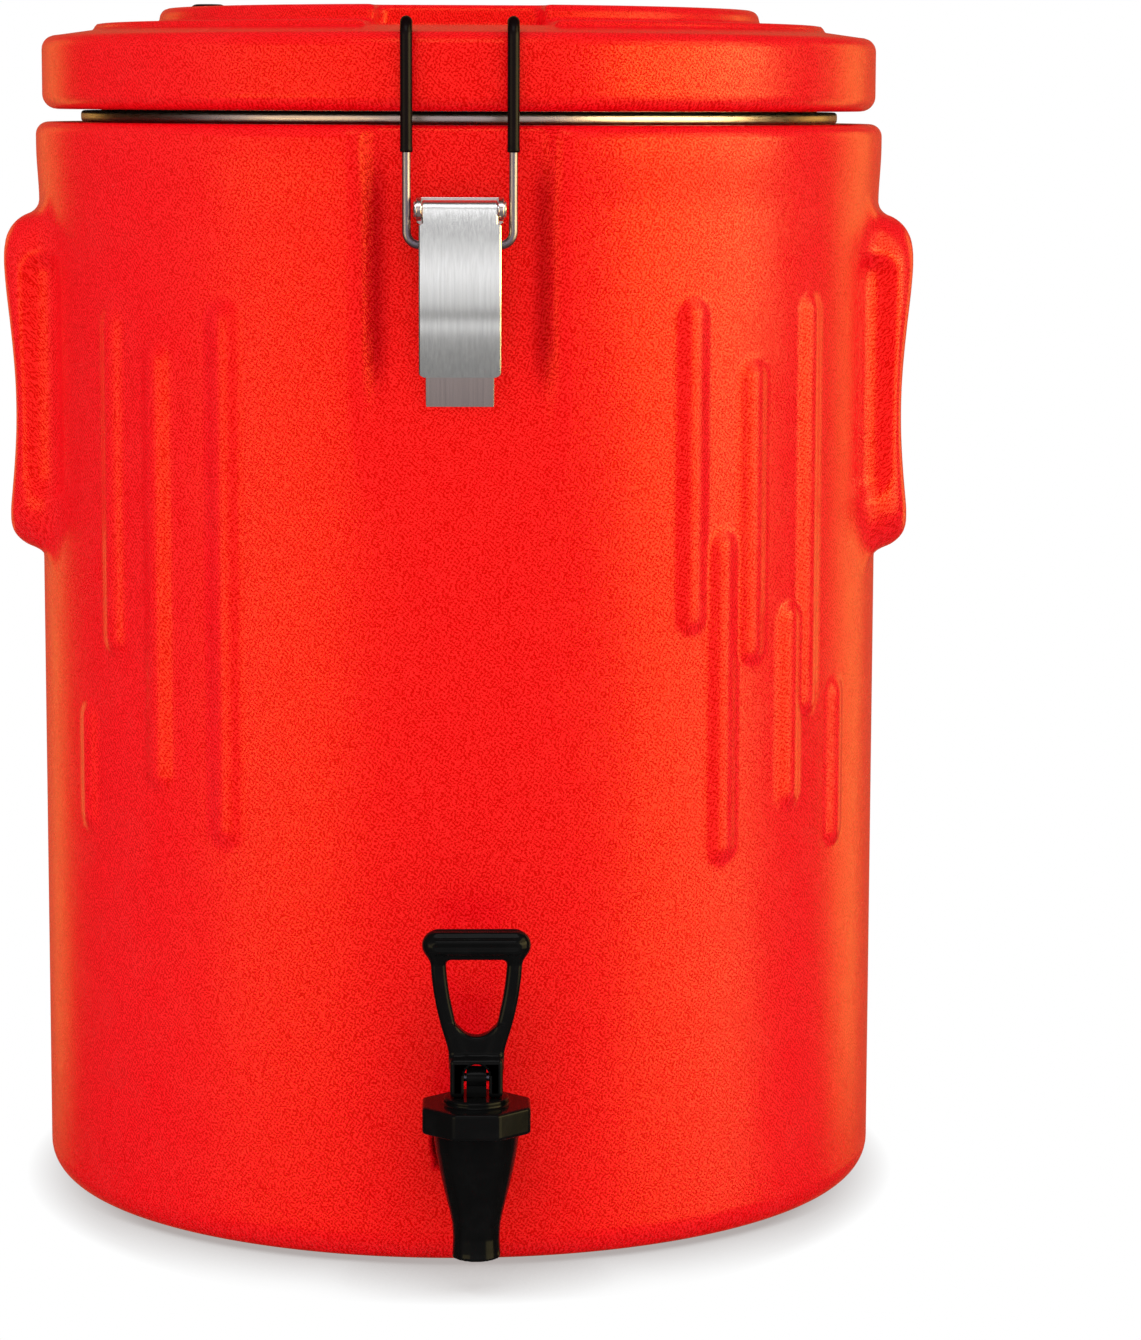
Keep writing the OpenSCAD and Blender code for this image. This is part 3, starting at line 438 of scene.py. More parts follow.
class Finishes:
    """Every finish of the cooler, by material slot."""

    def __init__(self) -> None:
        """Makes the materials."""
        self.materials = {slot: recipe.build() for slot, recipe in self.recipes().items()}
        # The base plate's steel is a darker, reddish copy of the latch steel: painted shade under the lever
        # and a painted reflection of the red barrel.
        self.plate = BrushedSteel("plate_steel_painted_shade", (0.58, 0.48, 0.48)).build()

    @staticmethod
    def recipes() -> dict[Slot, MouldedPlastic | BrushedSteel | SmoothCoat]:
        """Lists the finishes by slot, with their colours and roughness."""
        return {
            Slot.RED_SHELL: MouldedPlastic("moulded_red", (0.95, 0.0050, 0.0125), (0.96, 0.0062, 0.0130)),
            Slot.RED_LID: MouldedPlastic("moulded_red_lid", (0.93, 0.0050, 0.0115), (0.94, 0.0060, 0.0118)),
            Slot.FOAM: SmoothCoat(
                "rigid_foam", (0.82, 0.70, 0.42), (0.86, 0.78, 0.55), (0.7, 0.9), ripple=0.0006, scale=700.0,
            ),
            # The liner's dark reddish brown is a painted reflection of the red lid and barrel, darkened as
            # painted shade in the gap under the lid.
            Slot.LINER_STEEL: BrushedSteel(
                "liner_steel", (0.42, 0.34, 0.34), (0.05, 0.05, 1.0), (0.24, 0.34),
            ),
            Slot.LATCH_STEEL: BrushedSteel("latch_steel"),
            Slot.BAIL_WIRE: BrushedSteel(
                "wire_steel", (0.20, 0.175, 0.22), (1.0, 1.0, 0.1), (0.30, 0.40), 0.00001,
            ),
            Slot.BLACK_VINYL: SmoothCoat(
                "black_vinyl", (0.004, 0.0015, 0.0018), (0.006, 0.003, 0.003), (0.22, 0.30), shine=0.06,
            ),
            Slot.BLACK_PLASTIC: SmoothCoat(
                "black_plastic", (0.003, 0.003, 0.003), (0.005, 0.005, 0.005), (0.12, 0.20), shine=0.05,
            ),
            Slot.DARK_RUBBER: SmoothCoat(
                "dark_rubber", (0.080, 0.010, 0.008), (0.090, 0.016, 0.014), (0.5, 0.65),
            ),
            Slot.SILICONE: SmoothCoat("silicone", (0.70, 0.69, 0.65), (0.74, 0.73, 0.70), (0.35, 0.5)),
        }

    def __getitem__(self, slot: Slot) -> bpy.types.Material:
        """Gives a slot's material."""
        return self.materials[slot]


# Meshes


@dataclass
class MeshData:
    """Points and faces of a mesh, in millimetres.

    Attributes:
        points: One row for each vertex.
        faces: Vertex numbers of each face.
        normals: A normal for each vertex, or nothing where faces are shaded by angle.
        flat_from: The first face that is shaded flat, where there are normals.
        hollow: How deep each vertex lies in the shade painted into corners, from 0 to 1, where that is known.
    """

    PAINTED_SHADE = "hollow"
    NEAR = 1.0

    points: Array
    faces: list[tuple[int, ...]]
    normals: Array | None = None
    flat_from: int | None = None
    hollow: Array | None = None

    def rim(self, height: float) -> list[int]:
        """Finds the open edge nearest to a height.

        Args:
            height: The height of the edge.

        Returns:
            The edge's vertices, in order of angle.
        """
        count: dict[tuple[int, int], int] = {}
        for face in self.faces:
            for a, b in zip(face, face[1:] + face[:1]):
                key = (min(a, b), max(a, b))
                count[key] = count.get(key, 0) + 1
        open_ids = sorted({v for edge, n in count.items() if n == 1 for v in edge})
        near = [v for v in open_ids if abs(self.points[v, 2] - height) < self.NEAR]
        return sorted(near, key=lambda v: math.atan2(self.points[v, 1], self.points[v, 0]))

    def extend(self, ring: Sequence[int], radius: float, height: float, up: bool) -> list[int]:
        """Adds a strip of flat faces from an edge to a circle round the Z axis.

        Args:
            ring: The edge's vertices, in order of angle.
            radius: The circle's radius.
            height: The circle's height.
            up: Whether the faces turn anticlockwise as seen along the way from the edge to the circle.

        Returns:
            The circle's vertices.
        """
        angle = np.arctan2(self.points[ring, 1], self.points[ring, 0])
        start = len(self.points)
        circle = np.stack((radius * np.cos(angle), radius * np.sin(angle), np.full(len(ring), height)), -1)
        self.points = np.concatenate((self.points, circle))
        if self.flat_from is None:
            self.flat_from = len(self.faces)
        new = list(range(start, start + len(ring)))
        for i in range(len(ring)):
            j = (i + 1) % len(ring)
            quad = (ring[i], ring[j], new[j], new[i])
            self.faces.append(quad if up else quad[::-1])
        return new

    def cap(self, ring: Sequence[int], up: bool) -> None:
        """Closes an edge with one flat face.

        Args:
            ring: The edge's vertices, in order of angle.
            up: Whether the face looks up.
        """
        if self.flat_from is None:
            self.flat_from = len(self.faces)
        self.faces.append(tuple(ring) if up else tuple(reversed(ring)))

    def turned(self, degrees: float) -> MeshData:
        """Copies the mesh, turned about the Z axis.

        Args:
            degrees: The turn.

        Returns:
            The turned copy.
        """
        c, s = math.cos(math.radians(degrees)), math.sin(math.radians(degrees))
        turn = np.array([[c, s, 0], [-s, c, 0], [0, 0, 1]])
        normals = None if self.normals is None else self.normals @ turn
        return MeshData(self.points @ turn, list(self.faces), normals, self.flat_from)

    def join(self, other: MeshData) -> MeshData:
        """Puts two meshes that are shaded by angle into one.

        Args:
            other: The mesh to add.

        Returns:
            The joined mesh.
        """
        shift = len(self.points)
        faces = self.faces + [tuple(v + shift for v in face) for face in other.faces]
        return MeshData(np.concatenate((self.points, other.points)), faces)

    def to_object(self, name: str, material: bpy.types.Material, sharp: float = 35) -> bpy.types.Object:
        """Makes a Blender object at the origin.

        Args:
            name: The object's name.
            material: Its material.
            sharp: The angle, in degrees, above which an edge is sharp where there are no normals.

        Returns:
            The object.
        """
        mesh = bpy.data.meshes.new(name)
        mesh.from_pydata((self.points * MM).tolist(), [], self.faces)
        mesh.shade_smooth()
        if self.normals is None:
            mesh.set_sharp_from_angle(angle=math.radians(sharp))
        else:
            filled = np.zeros((len(self.points), 3))
            filled[: len(self.normals)] = self.normals
            loops = np.array([loop.vertex_index for loop in mesh.loops])
            corners = filled[loops]
            if self.flat_from is not None:
                for polygon in mesh.polygons[self.flat_from:]:
                    corners[list(polygon.loop_indices)] = polygon.normal
            mesh.normals_split_custom_set(corners.tolist())
        # The shade painted into corners goes to the material as a vertex attribute.
        if self.hollow is not None:
            shade = np.zeros(len(self.points))
            shade[: len(self.hollow)] = self.hollow
            mesh.attributes.new(self.PAINTED_SHADE, "FLOAT", "POINT").data.foreach_set("value", shade)
        mesh.materials.append(material)
        made = bpy.data.objects.new(name, mesh)
        bpy.context.scene.collection.objects.link(made)
        return made


class Blend:
    """Soft joins of distance fields, as a moulding's round edges."""

    @staticmethod
    def join(a: Array, b: Array, k: float) -> Array:
        """Adds two solids, given by the distances to them, with a fillet of size k between them."""
        h = np.clip(0.5 + 0.5 * (b - a) / k, 0, 1)
        return b + (a - b) * h - k * h * (1 - h)

    @staticmethod
    def meet(a: Array, b: Array, k: float) -> Array:
        """Keeps what two solids share, with a round edge of size k."""
        return -Blend.join(-a, -b, k)

    @staticmethod
    def cut(a: Array, b: Array, k: float) -> Array:
        """Takes the second solid out of the first, with a round lip of size k."""
        return -Blend.join(-a, b, k)

    @staticmethod
    def corner(du: Array, dv: Array, radius: float) -> Array:
        """Rounds the corner between two faces, given by the distances outside them."""
        u, v = du + radius, dv + radius
        return np.hypot(np.maximum(u, 0), np.maximum(v, 0)) + np.minimum(np.maximum(u, v), 0) - radius

    @staticmethod
    def between(low: Array | float, value: Array, high: Array | float) -> Array:
        """Measures the distance to the layer between two planes."""
        return np.maximum(low - value, value - high)

    @staticmethod
    def ease(share: Array) -> Array:
        """Holds a share between 0 and 1 and softens both ends of its rise."""
        held = np.clip(share, 0, 1)
        return held * held * (3 - 2 * held)


@dataclass
class FieldNet:
    """A mesh of the surface where a distance field is zero.

    Each grid cell that the surface crosses has one vertex.

    Attributes:
        axes: Grid lines of the three coordinates; the second is an angle in radians on a polar grid.
        distance: Signed distance, in millimetres, at x, y and z.
        polar: Whether the coordinates are radius, angle and height, closed round the Z axis.
        shade: How deep a place lies in the shade painted into corners, from 0 to 1, at x, y and z.
    """

    STEP = 0.03
    PASSES = 2
    LEAST_SLOPE = 0.2
    LONGEST_MOVE = 1.0

    axes: tuple[Array, Array, Array]
    distance: Distance
    polar: bool = False
    shade: Distance | None = None

    def place(self, u: Array, v: Array, w: Array) -> tuple[Array, Array, Array]:
        """Turns grid coordinates into x, y and z."""
        return (u * np.cos(v), u * np.sin(v), w) if self.polar else (u, v, w)

    def slope(self, points: Array) -> Array:
        """Measures the field's gradient.

        Args:
            points: One row for each point.

        Returns:
            The gradient, one row for each point.
        """
        rows = []
        for axis in np.eye(3) * self.STEP:
            ahead, behind = (points + axis).T, (points - axis).T
            rows.append((self.distance(*ahead) - self.distance(*behind)) / (2 * self.STEP))
        return np.stack(rows, -1)

    def build(self) -> MeshData:
        """Meshes the surface and sets its vertices and normals by the field itself.

        Returns:
            The mesh.
        """
        lines = [np.asarray(a, float) for a in self.axes]
        value = self.distance(*self.place(*np.meshgrid(*lines, indexing="ij")))
        cells = [len(a) - 1 for a in lines]
        if self.polar:
            value = np.concatenate((value, value[:, :1]), axis=1)
            lines[1] = np.append(lines[1], lines[1][0] + 2 * math.pi)
            cells[1] += 1
        inside = value < 0
        sums, counts, quads = np.zeros((math.prod(cells), 3)), np.zeros(math.prod(cells)), []
        for axis in range(3):
            low, high = [slice(None)] * 3, [slice(None)] * 3
            low[axis], high[axis] = slice(0, -1), slice(1, None)
            crossing = inside[tuple(low)] != inside[tuple(high)]
            if self.polar and axis != 1:
                crossing[:, -1, :] = False
            index = np.argwhere(crossing)
            after = index + np.eye(3, dtype=int)[axis]
            a, b = value[tuple(index.T)], value[tuple(after.T)]
            coords = [lines[d][index[:, d]] for d in range(3)]
            coords[axis] = coords[axis] + a / (a - b) * (lines[axis][after[:, axis]] - coords[axis])
            points = np.stack(self.place(*coords), -1)
            side, other = (axis + 1) % 3, (axis + 2) % 3
            corners, valid = [], np.ones(len(index), bool)
            for shift_side, shift_other in ((0, 0), (-1, 0), (-1, -1), (0, -1)):
                cell = index.copy()
                cell[:, side] += shift_side
                cell[:, other] += shift_other
                if self.polar:
                    cell[:, 1] %= cells[1]
                valid &= ((cell >= 0) & (cell < cells)).all(1)
                corners.append(cell)
            ids = np.stack([np.ravel_multi_index(tuple(c[valid].T), cells) for c in corners], 1)
            for column in ids.T:
                np.add.at(sums, column, points[valid])
                np.add.at(counts, column, 1)
            flip = a[valid] > 0
            ids[flip] = ids[flip][:, ::-1]
            quads.append(ids)
        faces = np.concatenate(quads)
        used, compact = np.unique(faces, return_inverse=True)
        points = sums[used] / counts[used][:, None]
        return self.settle(points, compact.reshape(faces.shape))

    def settle(self, points: Array, faces: Array) -> MeshData:
        """Moves vertices onto the surface and gives them its normals.

        Args:
            points: The vertices.
            faces: The faces.

        Returns:
            The mesh.
        """
        for _ in range(self.PASSES):
            slope = self.slope(points)
            length = np.maximum((slope**2).sum(1), self.LEAST_SLOPE)
            move = np.clip(self.distance(*points.T) / length, -self.LONGEST_MOVE, self.LONGEST_MOVE)
            points = points - slope * move[:, None]
        slope = self.slope(points)
        normals = slope / np.maximum(np.linalg.norm(slope, axis=1), 1e-9)[:, None]
        hollow = None if self.shade is None else self.shade(*points.T)
        return MeshData(points, [tuple(face) for face in faces.tolist()], normals, hollow=hollow)


class Spacing:
    """Grid lines that are closer together where the shape is finer."""

    @staticmethod
    def lines(*parts: float) -> Array:
        """Lists grid lines from a start, through pairs of a step and an end.

        Args:
            *parts: The start, then a step and an end for each stretch.

        Returns:
            The grid lines.
        """
        made = [parts[0]]
        for step, end in zip(parts[1::2], parts[2::2]):
            count = max(1, round((end - made[-1]) / step))
            made.extend(np.linspace(made[-1], end, count + 1)[1:])
        return np.array(made)


class Solids:
    """Plain solids for small metal pieces, shaded by angle."""

    TO_FRONT = ((1, 0, 0), (0, 0, 1), (0, -1, 0))
    ACROSS = ((0, 1, 0), (0, 0, 1), (1, 0, 0))
    BEVEL_STEPS = 3
    ROUND = 0.5

    @staticmethod
    def lathe(profile: Sequence[Pair], sides: int = 48) -> MeshData:
        """Turns a profile about the Z axis.

        Args:
            profile: Radius and height of each point, from one end to the other.
            sides: Vertices in each circle.

        Returns:
            The mesh, closed at both ends.
        """
        angle = np.linspace(0, 2 * math.pi, sides, endpoint=False)
        rings = [np.stack((r * np.cos(angle), r * np.sin(angle), np.full(sides, h)), -1) for r, h in profile]
        return Solids.loft(rings)

    @staticmethod
    def loft(rings: Sequence[Array]) -> MeshData:
        """Joins closed rings of equal counts, with a face at each end.

        Args:
            rings: The rings' points.

        Returns:
            The mesh.
        """
        n, faces = len(rings[0]), []
        for k in range(len(rings) - 1):
            for i in range(n):
                j = (i + 1) % n
                faces.append((k * n + i, k * n + j, (k + 1) * n + j, (k + 1) * n + i))
        faces.append(tuple(reversed(range(n))))
        faces.append(tuple(range((len(rings) - 1) * n, len(rings) * n)))
        return MeshData(np.concatenate(rings), faces)

    @staticmethod
    def prism(outline: Sequence[Pair], low: float, high: float, bevel: float) -> MeshData:
        """Raises an outline along Z and rounds its edges.

        Args:
            outline: The outline, anticlockwise.
            low: Height of the lower face.
            high: Height of the upper face.
            bevel: Radius of the edges.

        Returns:
            The mesh.
        """
        made = bmesh.new()
        rings = [[made.verts.new((x, y, h)) for x, y in outline] for h in (low, high)]
        made.faces.new(reversed(rings[0]))
        made.faces.new(rings[1])
        for i in range(len(outline)):
            j = (i + 1) % len(outline)
            made.faces.new((rings[0][i], rings[0][j], rings[1][j], rings[1][i]))
        edges = [e for e in made.edges if e.verts[0].co.z == e.verts[1].co.z]
        shape = {"segments": Solids.BEVEL_STEPS, "profile": Solids.ROUND, "affect": "EDGES"}
        bmesh.ops.bevel(made, geom=edges, offset=bevel, **shape)
        made.verts.index_update()
        points = np.array([v.co[:] for v in made.verts])
        faces = [tuple(v.index for v in f.verts) for f in made.faces]
        made.free()
        return MeshData(points, faces)

    @staticmethod
    def placed(mesh: MeshData, axes: Sequence[Sequence[float]], origin: Sequence[float]) -> MeshData:
        """Moves a mesh into a frame, given by its three axes and its origin."""
        return MeshData(mesh.points @ np.array(axes, float) + np.array(origin, float), mesh.faces)


class TubeNodes:
    """A geometry node group that draws a round tube along a path, with a radius at each point."""

    RADIUS = "tube_radius"
    SHARP = 50.0

    def __init__(self) -> None:
        """Builds the node group."""
        group = bpy.data.node_groups.new("tube_along_path", "GeometryNodeTree")
        face = group.interface
        face.new_socket("Path", in_out="INPUT", socket_type="NodeSocketGeometry")
        self.sides = face.new_socket("Sides", in_out="INPUT", socket_type="NodeSocketInt").identifier
        self.material = face.new_socket("Finish", in_out="INPUT", socket_type="NodeSocketMaterial").identifier
        face.new_socket("Tube", in_out="OUTPUT", socket_type="NodeSocketGeometry")
        add = group.nodes.new
        start, end = add("NodeGroupInput"), add("NodeGroupOutput")
        curve, named = add("GeometryNodeMeshToCurve"), add("GeometryNodeInputNamedAttribute")
        circle, tube = add("GeometryNodeCurvePrimitiveCircle"), add("GeometryNodeCurveToMesh")
        smooth, real = add("GeometryNodeSetShadeSmooth"), add("GeometryNodeRealizeInstances")
        paint = add("GeometryNodeSetMaterial")
        named.data_type = "FLOAT"
        named.inputs["Name"].default_value = self.RADIUS
        circle.inputs["Radius"].default_value = 1.0
        tube.inputs["Fill Caps"].default_value = True
        link = group.links.new
        link(start.outputs["Path"], curve.inputs[0])
        link(named.outputs["Attribute"], tube.inputs["Scale"])
        link(start.outputs["Sides"], circle.inputs["Resolution"])
        link(curve.outputs[0], tube.inputs["Curve"])
        link(circle.outputs["Curve"], tube.inputs["Profile Curve"])
        link(tube.outputs[0], smooth.inputs[0])
        link(smooth.outputs[0], real.inputs[0])
        link(real.outputs[0], paint.inputs["Geometry"])
        link(start.outputs["Finish"], paint.inputs["Material"])
        link(paint.outputs[0], end.inputs["Tube"])
        self.group = group

    def draw(
        self, name: str, paths: Sequence[tuple[Array, Array]], material: bpy.types.Material, sides: int = 28
    ) -> bpy.types.Object:
        """Draws tubes and makes them one plain mesh.

        Args:
            name: The object's name.
            paths: Points and radii of each path, in millimetres.
            material: The tubes' material.
            sides: Vertices round a tube.

        Returns:
            The object.
        """
        points = np.concatenate([p for p, _ in paths]) * MM
        radii = np.concatenate([r for _, r in paths]) * MM
        edges, start = [], 0
        for p, _ in paths:
            edges += [(i, i + 1) for i in range(start, start + len(p) - 1)]
            start += len(p)
        line = bpy.data.meshes.new(name + "_path")
        line.from_pydata(points.tolist(), edges, [])
        line.attributes.new(self.RADIUS, "FLOAT", "POINT").data.foreach_set("value", radii)
        guide = bpy.data.objects.new(name + "_path", line)
        bpy.context.scene.collection.objects.link(guide)
        modifier = guide.modifiers.new("tube", "NODES")
        modifier.node_group = self.group
        modifier[self.sides] = sides
        modifier[self.material] = material
        bpy.context.view_layer.update()
        mesh = bpy.data.meshes.new_from_object(guide.evaluated_get(bpy.context.evaluated_depsgraph_get()))
        bpy.data.objects.remove(guide)
        bpy.data.meshes.remove(line)
        mesh.name = name
        mesh.set_sharp_from_angle(angle=math.radians(self.SHARP))
        made = bpy.data.objects.new(name, mesh)
        bpy.context.scene.collection.objects.link(made)
        return made


# Sub-assemblies


@dataclass
class Kit:
    """What every sub-assembly needs to dress its pieces.

    Attributes:
        finishes: The materials.
        tubes: The tube node group.
        nodes: The CAD nodes, by name.
    """

    finishes: Finishes
    tubes: TubeNodes
    nodes: dict[str, bpy.types.Object]

    def stand_for(self, piece: bpy.types.Object, body: Body, slot: Slot, *nodes: str) -> None:
        """Lets a piece ride on a body in place of CAD nodes.

        Args:
            piece: The piece.
            body: The body it rides on.
            slot: Its material slot; not used.
            *nodes: The CAD nodes that it stands for.
        """
        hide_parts(*nodes)
        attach(piece, body.value)
        log.info("%s stands for %s: %d faces", piece.name, ", ".join(nodes), len(piece.data.polygons))

    def dress(self, slot: Slot, *nodes: str) -> None:
        """Gives CAD nodes their finish.

        Args:
            slot: The material slot.
            *nodes: The nodes.
        """
        for name in nodes:
            mesh = self.nodes[name].data
            mesh.materials.clear()
            mesh.materials.append(self.finishes[slot])
            log.info("%s keeps its CAD form: %d faces", name, len(mesh.polygons))


@dataclass(frozen=True)
class FingerScoop:
    """The shallow hollow for the fingers at the front and at the back of a handle.

    Attributes:
        width: Its width.
        height: Its height.
        centre: Height of its middle.
        inset: Its distance in from the grip's face.
        web: Distance of its floor from the handle's middle.
        lean: How much deeper its top is than its foot.
        lip: Radius of its lip.
    """

    width: float = 20.0
    height: float = 98.0
    centre: float = 328.0
    inset: float = 3.5
    web: float = 54.2
    lean: float = 2.2
    lip: float = 3.5


@dataclass
class Barrel:
    """The moulded barrel with its ribs, handles and latch recesses, and what is inside it.

    Attributes:
        radius: Outer radius of the wall.
        height: Height up to the shoulder.
        base_round: Radius between the wall and the base.
        flare: How far the shoulder band stands out.
        band: Heights at which the flare starts and is full.
        shoulder_round: Radius of the shoulder's top edge.
        rib_radius: Radius of a rib's section.
        rib_rise: How far a rib stands proud.
        rib_fillet: Fillet at a rib's foot.
        rib_base: Height at which the lowest rib ends.
        ribs: Each rib's angle from the front and the heights of its ends above the lowest.
        handle: A handle's lower end, height, half width, reach and edge radius.
        handle_corner: How many times rounder a handle's corners are than its edges.
        waist: Depth, half height, centre height and edge radius of a handle's waist.
        scoop: A handle's finger scoops.
        handle_fillet: Fillet between a handle and the wall at its ends, and at its front and back.
        fillet_from: Share of a handle's half width from which its fillet grows.
        recess: The latch recess's depth, half width, mouth, floor end and run-out.
        recess_rounds: Radii in the recess's corners, at its foot and at its lip.
        recess_past: How far the recess's foot is drawn on past the wall.
        shade: Reach of the painted shade in a recess's corner inwards and outwards, its lower and upper end
        and their fade.
        seat: The tap's place to the right, its height, the spot face's radius and its distance from the axis.
        bore: Radius of the opening for the liner.
        bore_floor: Height of the opening's floor.
        liner: The liner's inner radius, wall, floor height and floor corner.
        liner_steps: Points in each of the liner's bends and in its roll, and its sides.
        pole: Radius at which the liner's floor closes in its middle.
        rim: Radius, bead radius and squareness of the liner's rolled rim.
        plug: Distance of the base plug from the centre, and radius and depth of its seat.
        plug_sides: Sides of that seat.
        angle_grid: Grid lines of half a turn, in degrees, as a start and then steps and ends.
        radius_grid: Grid lines of the radius, in the same way.
        height_grid: Grid lines of the height, in the same way.
    """

    radius: float = 169.0
    height: float = 427.0
    base_round: float = 12.0
    flare: float = 1.0
    band: Pair = (395.0, 418.0)
    shoulder_round: float = 5.0
    rib_radius: float = 9.0
    rib_rise: float = 2.3
    rib_fillet: float = 2.0
    rib_base: float = 147.0
    ribs: tuple[tuple[float, float, float], ...] = (
        (31, 91, 216), (41, 77, 192), (52.5, 54, 216), (36, 2, 128), (48.5, 19, 98), (60.3, 0, 65),
        (-31.5, 10, 214), (-42.8, 28, 198), (-51.8, 78, 210), (-58.5, 7, 56),
    )
    handle: tuple[float, float, float, float, float] = (258.0, 134.0, 55.0, 11.0, 14.0)
    handle_corner: float = 1.5
    waist: tuple[float, float, float, float] = (4.4, 42.0, 315.0, 5.0)
    scoop: FingerScoop = FingerScoop()
    handle_fillet: Pair = (5.0, 16.0)
    fillet_from: float = 0.6
    recess: tuple[float, float, float, float, float] = (8.0, 31.0, 37.0, 319.0, 40.0)
    recess_rounds: tuple[float, float, float] = (2.0, 8.0, 3.0)
    recess_past: float = 1.0
    shade: tuple[float, float, float, float, float] = (4.5, 4.0, 322.0, 424.0, 24.0)
    seat: tuple[float, float, float, float] = (6.0, 48.0, 16.0, 167.3)
    bore: float = 128.25
    bore_floor: float = 24.25
    liner: tuple[float, float, float, float] = (127.0, 1.0, 25.5, 7.0)
    liner_steps: tuple[int, int, int] = (9, 34, 192)
    pole: float = 1.0
    rim: tuple[float, float, float] = (152.0, 2.3, 0.6)
    plug: tuple[float, float, float] = (70.0, 16.25, 8.25)
    plug_sides: int = 48
    angle_grid: tuple[float, ...] = (-90, 1.6, -82, 0.75, -64, 0.85, 64, 0.75, 82, 1.6, 90)
    radius_grid: tuple[float, ...] = (131, 9.5, 150, 1.6, 186)
    height_grid: tuple[float, ...] = (-1, 1.8, 15, 6.0, 141, 2.6, 249, 2.2, 397, 3.0, 415, 1.3, 428)

    def handle_field(self, x: Array, y: Array, z: Array) -> Array:
        """Measures the distance to the two handles, without their finger scoops.

        Args:
            x: Points' x.
            y: Points' y.
            z: Points' z.

        Returns:
            The distance.
        """
        low, tall, half, reach, edge = self.handle
        depth, span, centre, waist_edge = self.waist
        out = np.abs(x) - self.radius - reach
        tip = np.abs(z - low - tall / 2) - tall / 2
        across = np.abs(y) - half
        hollow = (span**2 + depth**2) / (2 * depth)
        waist = np.hypot(out + depth - hollow, z - centre) - hollow
        pillow = Blend.corner(out, Blend.corner(across, tip, self.handle_corner * edge), edge)
        return Blend.cut(pillow, waist, waist_edge)

    def scoop_field(self, x: Array, y: Array, z: Array) -> Array:
        """Measures the distance to the finger scoops.

        Args:
            x: Points' x.
            y: Points' y.
            z: Points' z.

        Returns:
            The distance.
        """
        scoop = self.scoop
        radius = scoop.width / 2
        axis = self.radius + self.handle[3] - scoop.inset - radius
        beyond = np.maximum(np.abs(z - scoop.centre) - scoop.height / 2 + radius, 0)
        depth = np.abs(y) - scoop.web - radius + scoop.lean * (z - scoop.centre) / scoop.height
        return np.sqrt((np.abs(x) - axis) ** 2 + depth**2 + beyond**2) - radius

    def recess_field(self, x: Array, y: Array, z: Array) -> Array:
        """Measures the distance to the front latch recess.

        Args:
            x: Points' x.
            y: Points' y.
            z: Points' z.

        Returns:
            The distance.
        """
        depth, half, mouth, floor_z, run = self.recess
        floor = self.radius - depth
        rise = math.sqrt(self.radius**2 - mouth**2) - floor
        long = math.hypot(mouth - half, rise)
        sides = (rise * (np.abs(x) - half) + (mouth - half) * (y + floor)) / long
        past = depth + self.recess_past
        foot = (run * (y + floor) - past * (z - floor_z)) / math.hypot(run, past)
        corner, foot_round, _ = self.recess_rounds
        return Blend.meet(Blend.meet(y + floor, sides, corner), foot, foot_round)

    def painted_corner_shade(self, x: Array, y: Array, z: Array) -> Array:
        """Tells where shade is painted into the corners of the latch recesses.

        Args:
            x: Points' x.
            y: Points' y.
            z: Points' z.

        Returns:
            The depth of the painted shade, from 0 to 1.
        """
        inside, outside, low, high, fade = self.shade
        along = np.abs(x) - self.recess[1]
        across = np.exp(-((along / np.where(along < 0, inside, outside)) ** 2))
        ends = Blend.ease(np.minimum(z - low, high - z) / fade)
        return across * ends * (np.hypot(x, y) > self.bore)

    def with_ribs(self, wall: Array, x: Array, y: Array, z: Array) -> Array:
        """Adds the ribs to the wall.

        Args:
            wall: Distance to the wall.
            x: Points' x.
            y: Points' y.
            z: Points' z.

        Returns:
            The distance to both.
        """
        axis_r = self.radius + self.rib_rise - self.rib_radius
        end = math.sqrt(self.rib_radius**2 - (self.rib_radius - self.rib_rise) ** 2)
        for angle, low, high in self.ribs:
            turn_x, turn_y = math.sin(math.radians(angle)), -math.cos(math.radians(angle))
            middle, half = self.rib_base + (low + high) / 2, (high - low) / 2 - end
            flat = (x - axis_r * turn_x) ** 2 + (y - axis_r * turn_y) ** 2
            rib = np.sqrt(flat + np.maximum(np.abs(z - middle) - half, 0) ** 2) - self.rib_radius
            wall = Blend.join(wall, rib, self.rib_fillet)
        return wall

    def distance(self, x: Array, y: Array, z: Array) -> Array:
        """Measures the distance to the barrel's outside.

        Args:
            x: Points' x.
            y: Points' y.
            z: Points' z.

        Returns:
            The distance, negative inside.
        """
        seat_x, seat_z, seat_r, seat_y = self.seat
        spot = np.maximum(np.hypot(x - seat_x, z - seat_z) - seat_r, y + seat_y)
        turn = np.where(y > 0, -1.0, 1.0)
        x, y = x * turn, y * turn
        rise = (z - self.band[0]) / (self.band[1] - self.band[0])
        out = np.hypot(x, y) - self.radius - self.flare * Blend.ease(rise)
        base = Blend.corner(out, -z, self.base_round)
        wall = np.maximum(base, Blend.corner(out, z - self.height, self.shoulder_round))
        solid = self.with_ribs(wall, x, y, z)
        ends, front = self.handle_fillet
        half = self.handle[2]
        side = (np.abs(y) - self.fillet_from * half) / ((1 - self.fillet_from) * half)
        fillet = ends + (front - ends) * Blend.ease(side)
        solid = Blend.join(solid, self.handle_field(x, y, z), fillet)
        solid = Blend.cut(solid, self.scoop_field(x, y, z), self.scoop.lip)
        solid = Blend.cut(solid, self.recess_field(x, y, z), self.recess_rounds[2])
        return np.maximum(solid, -spot)

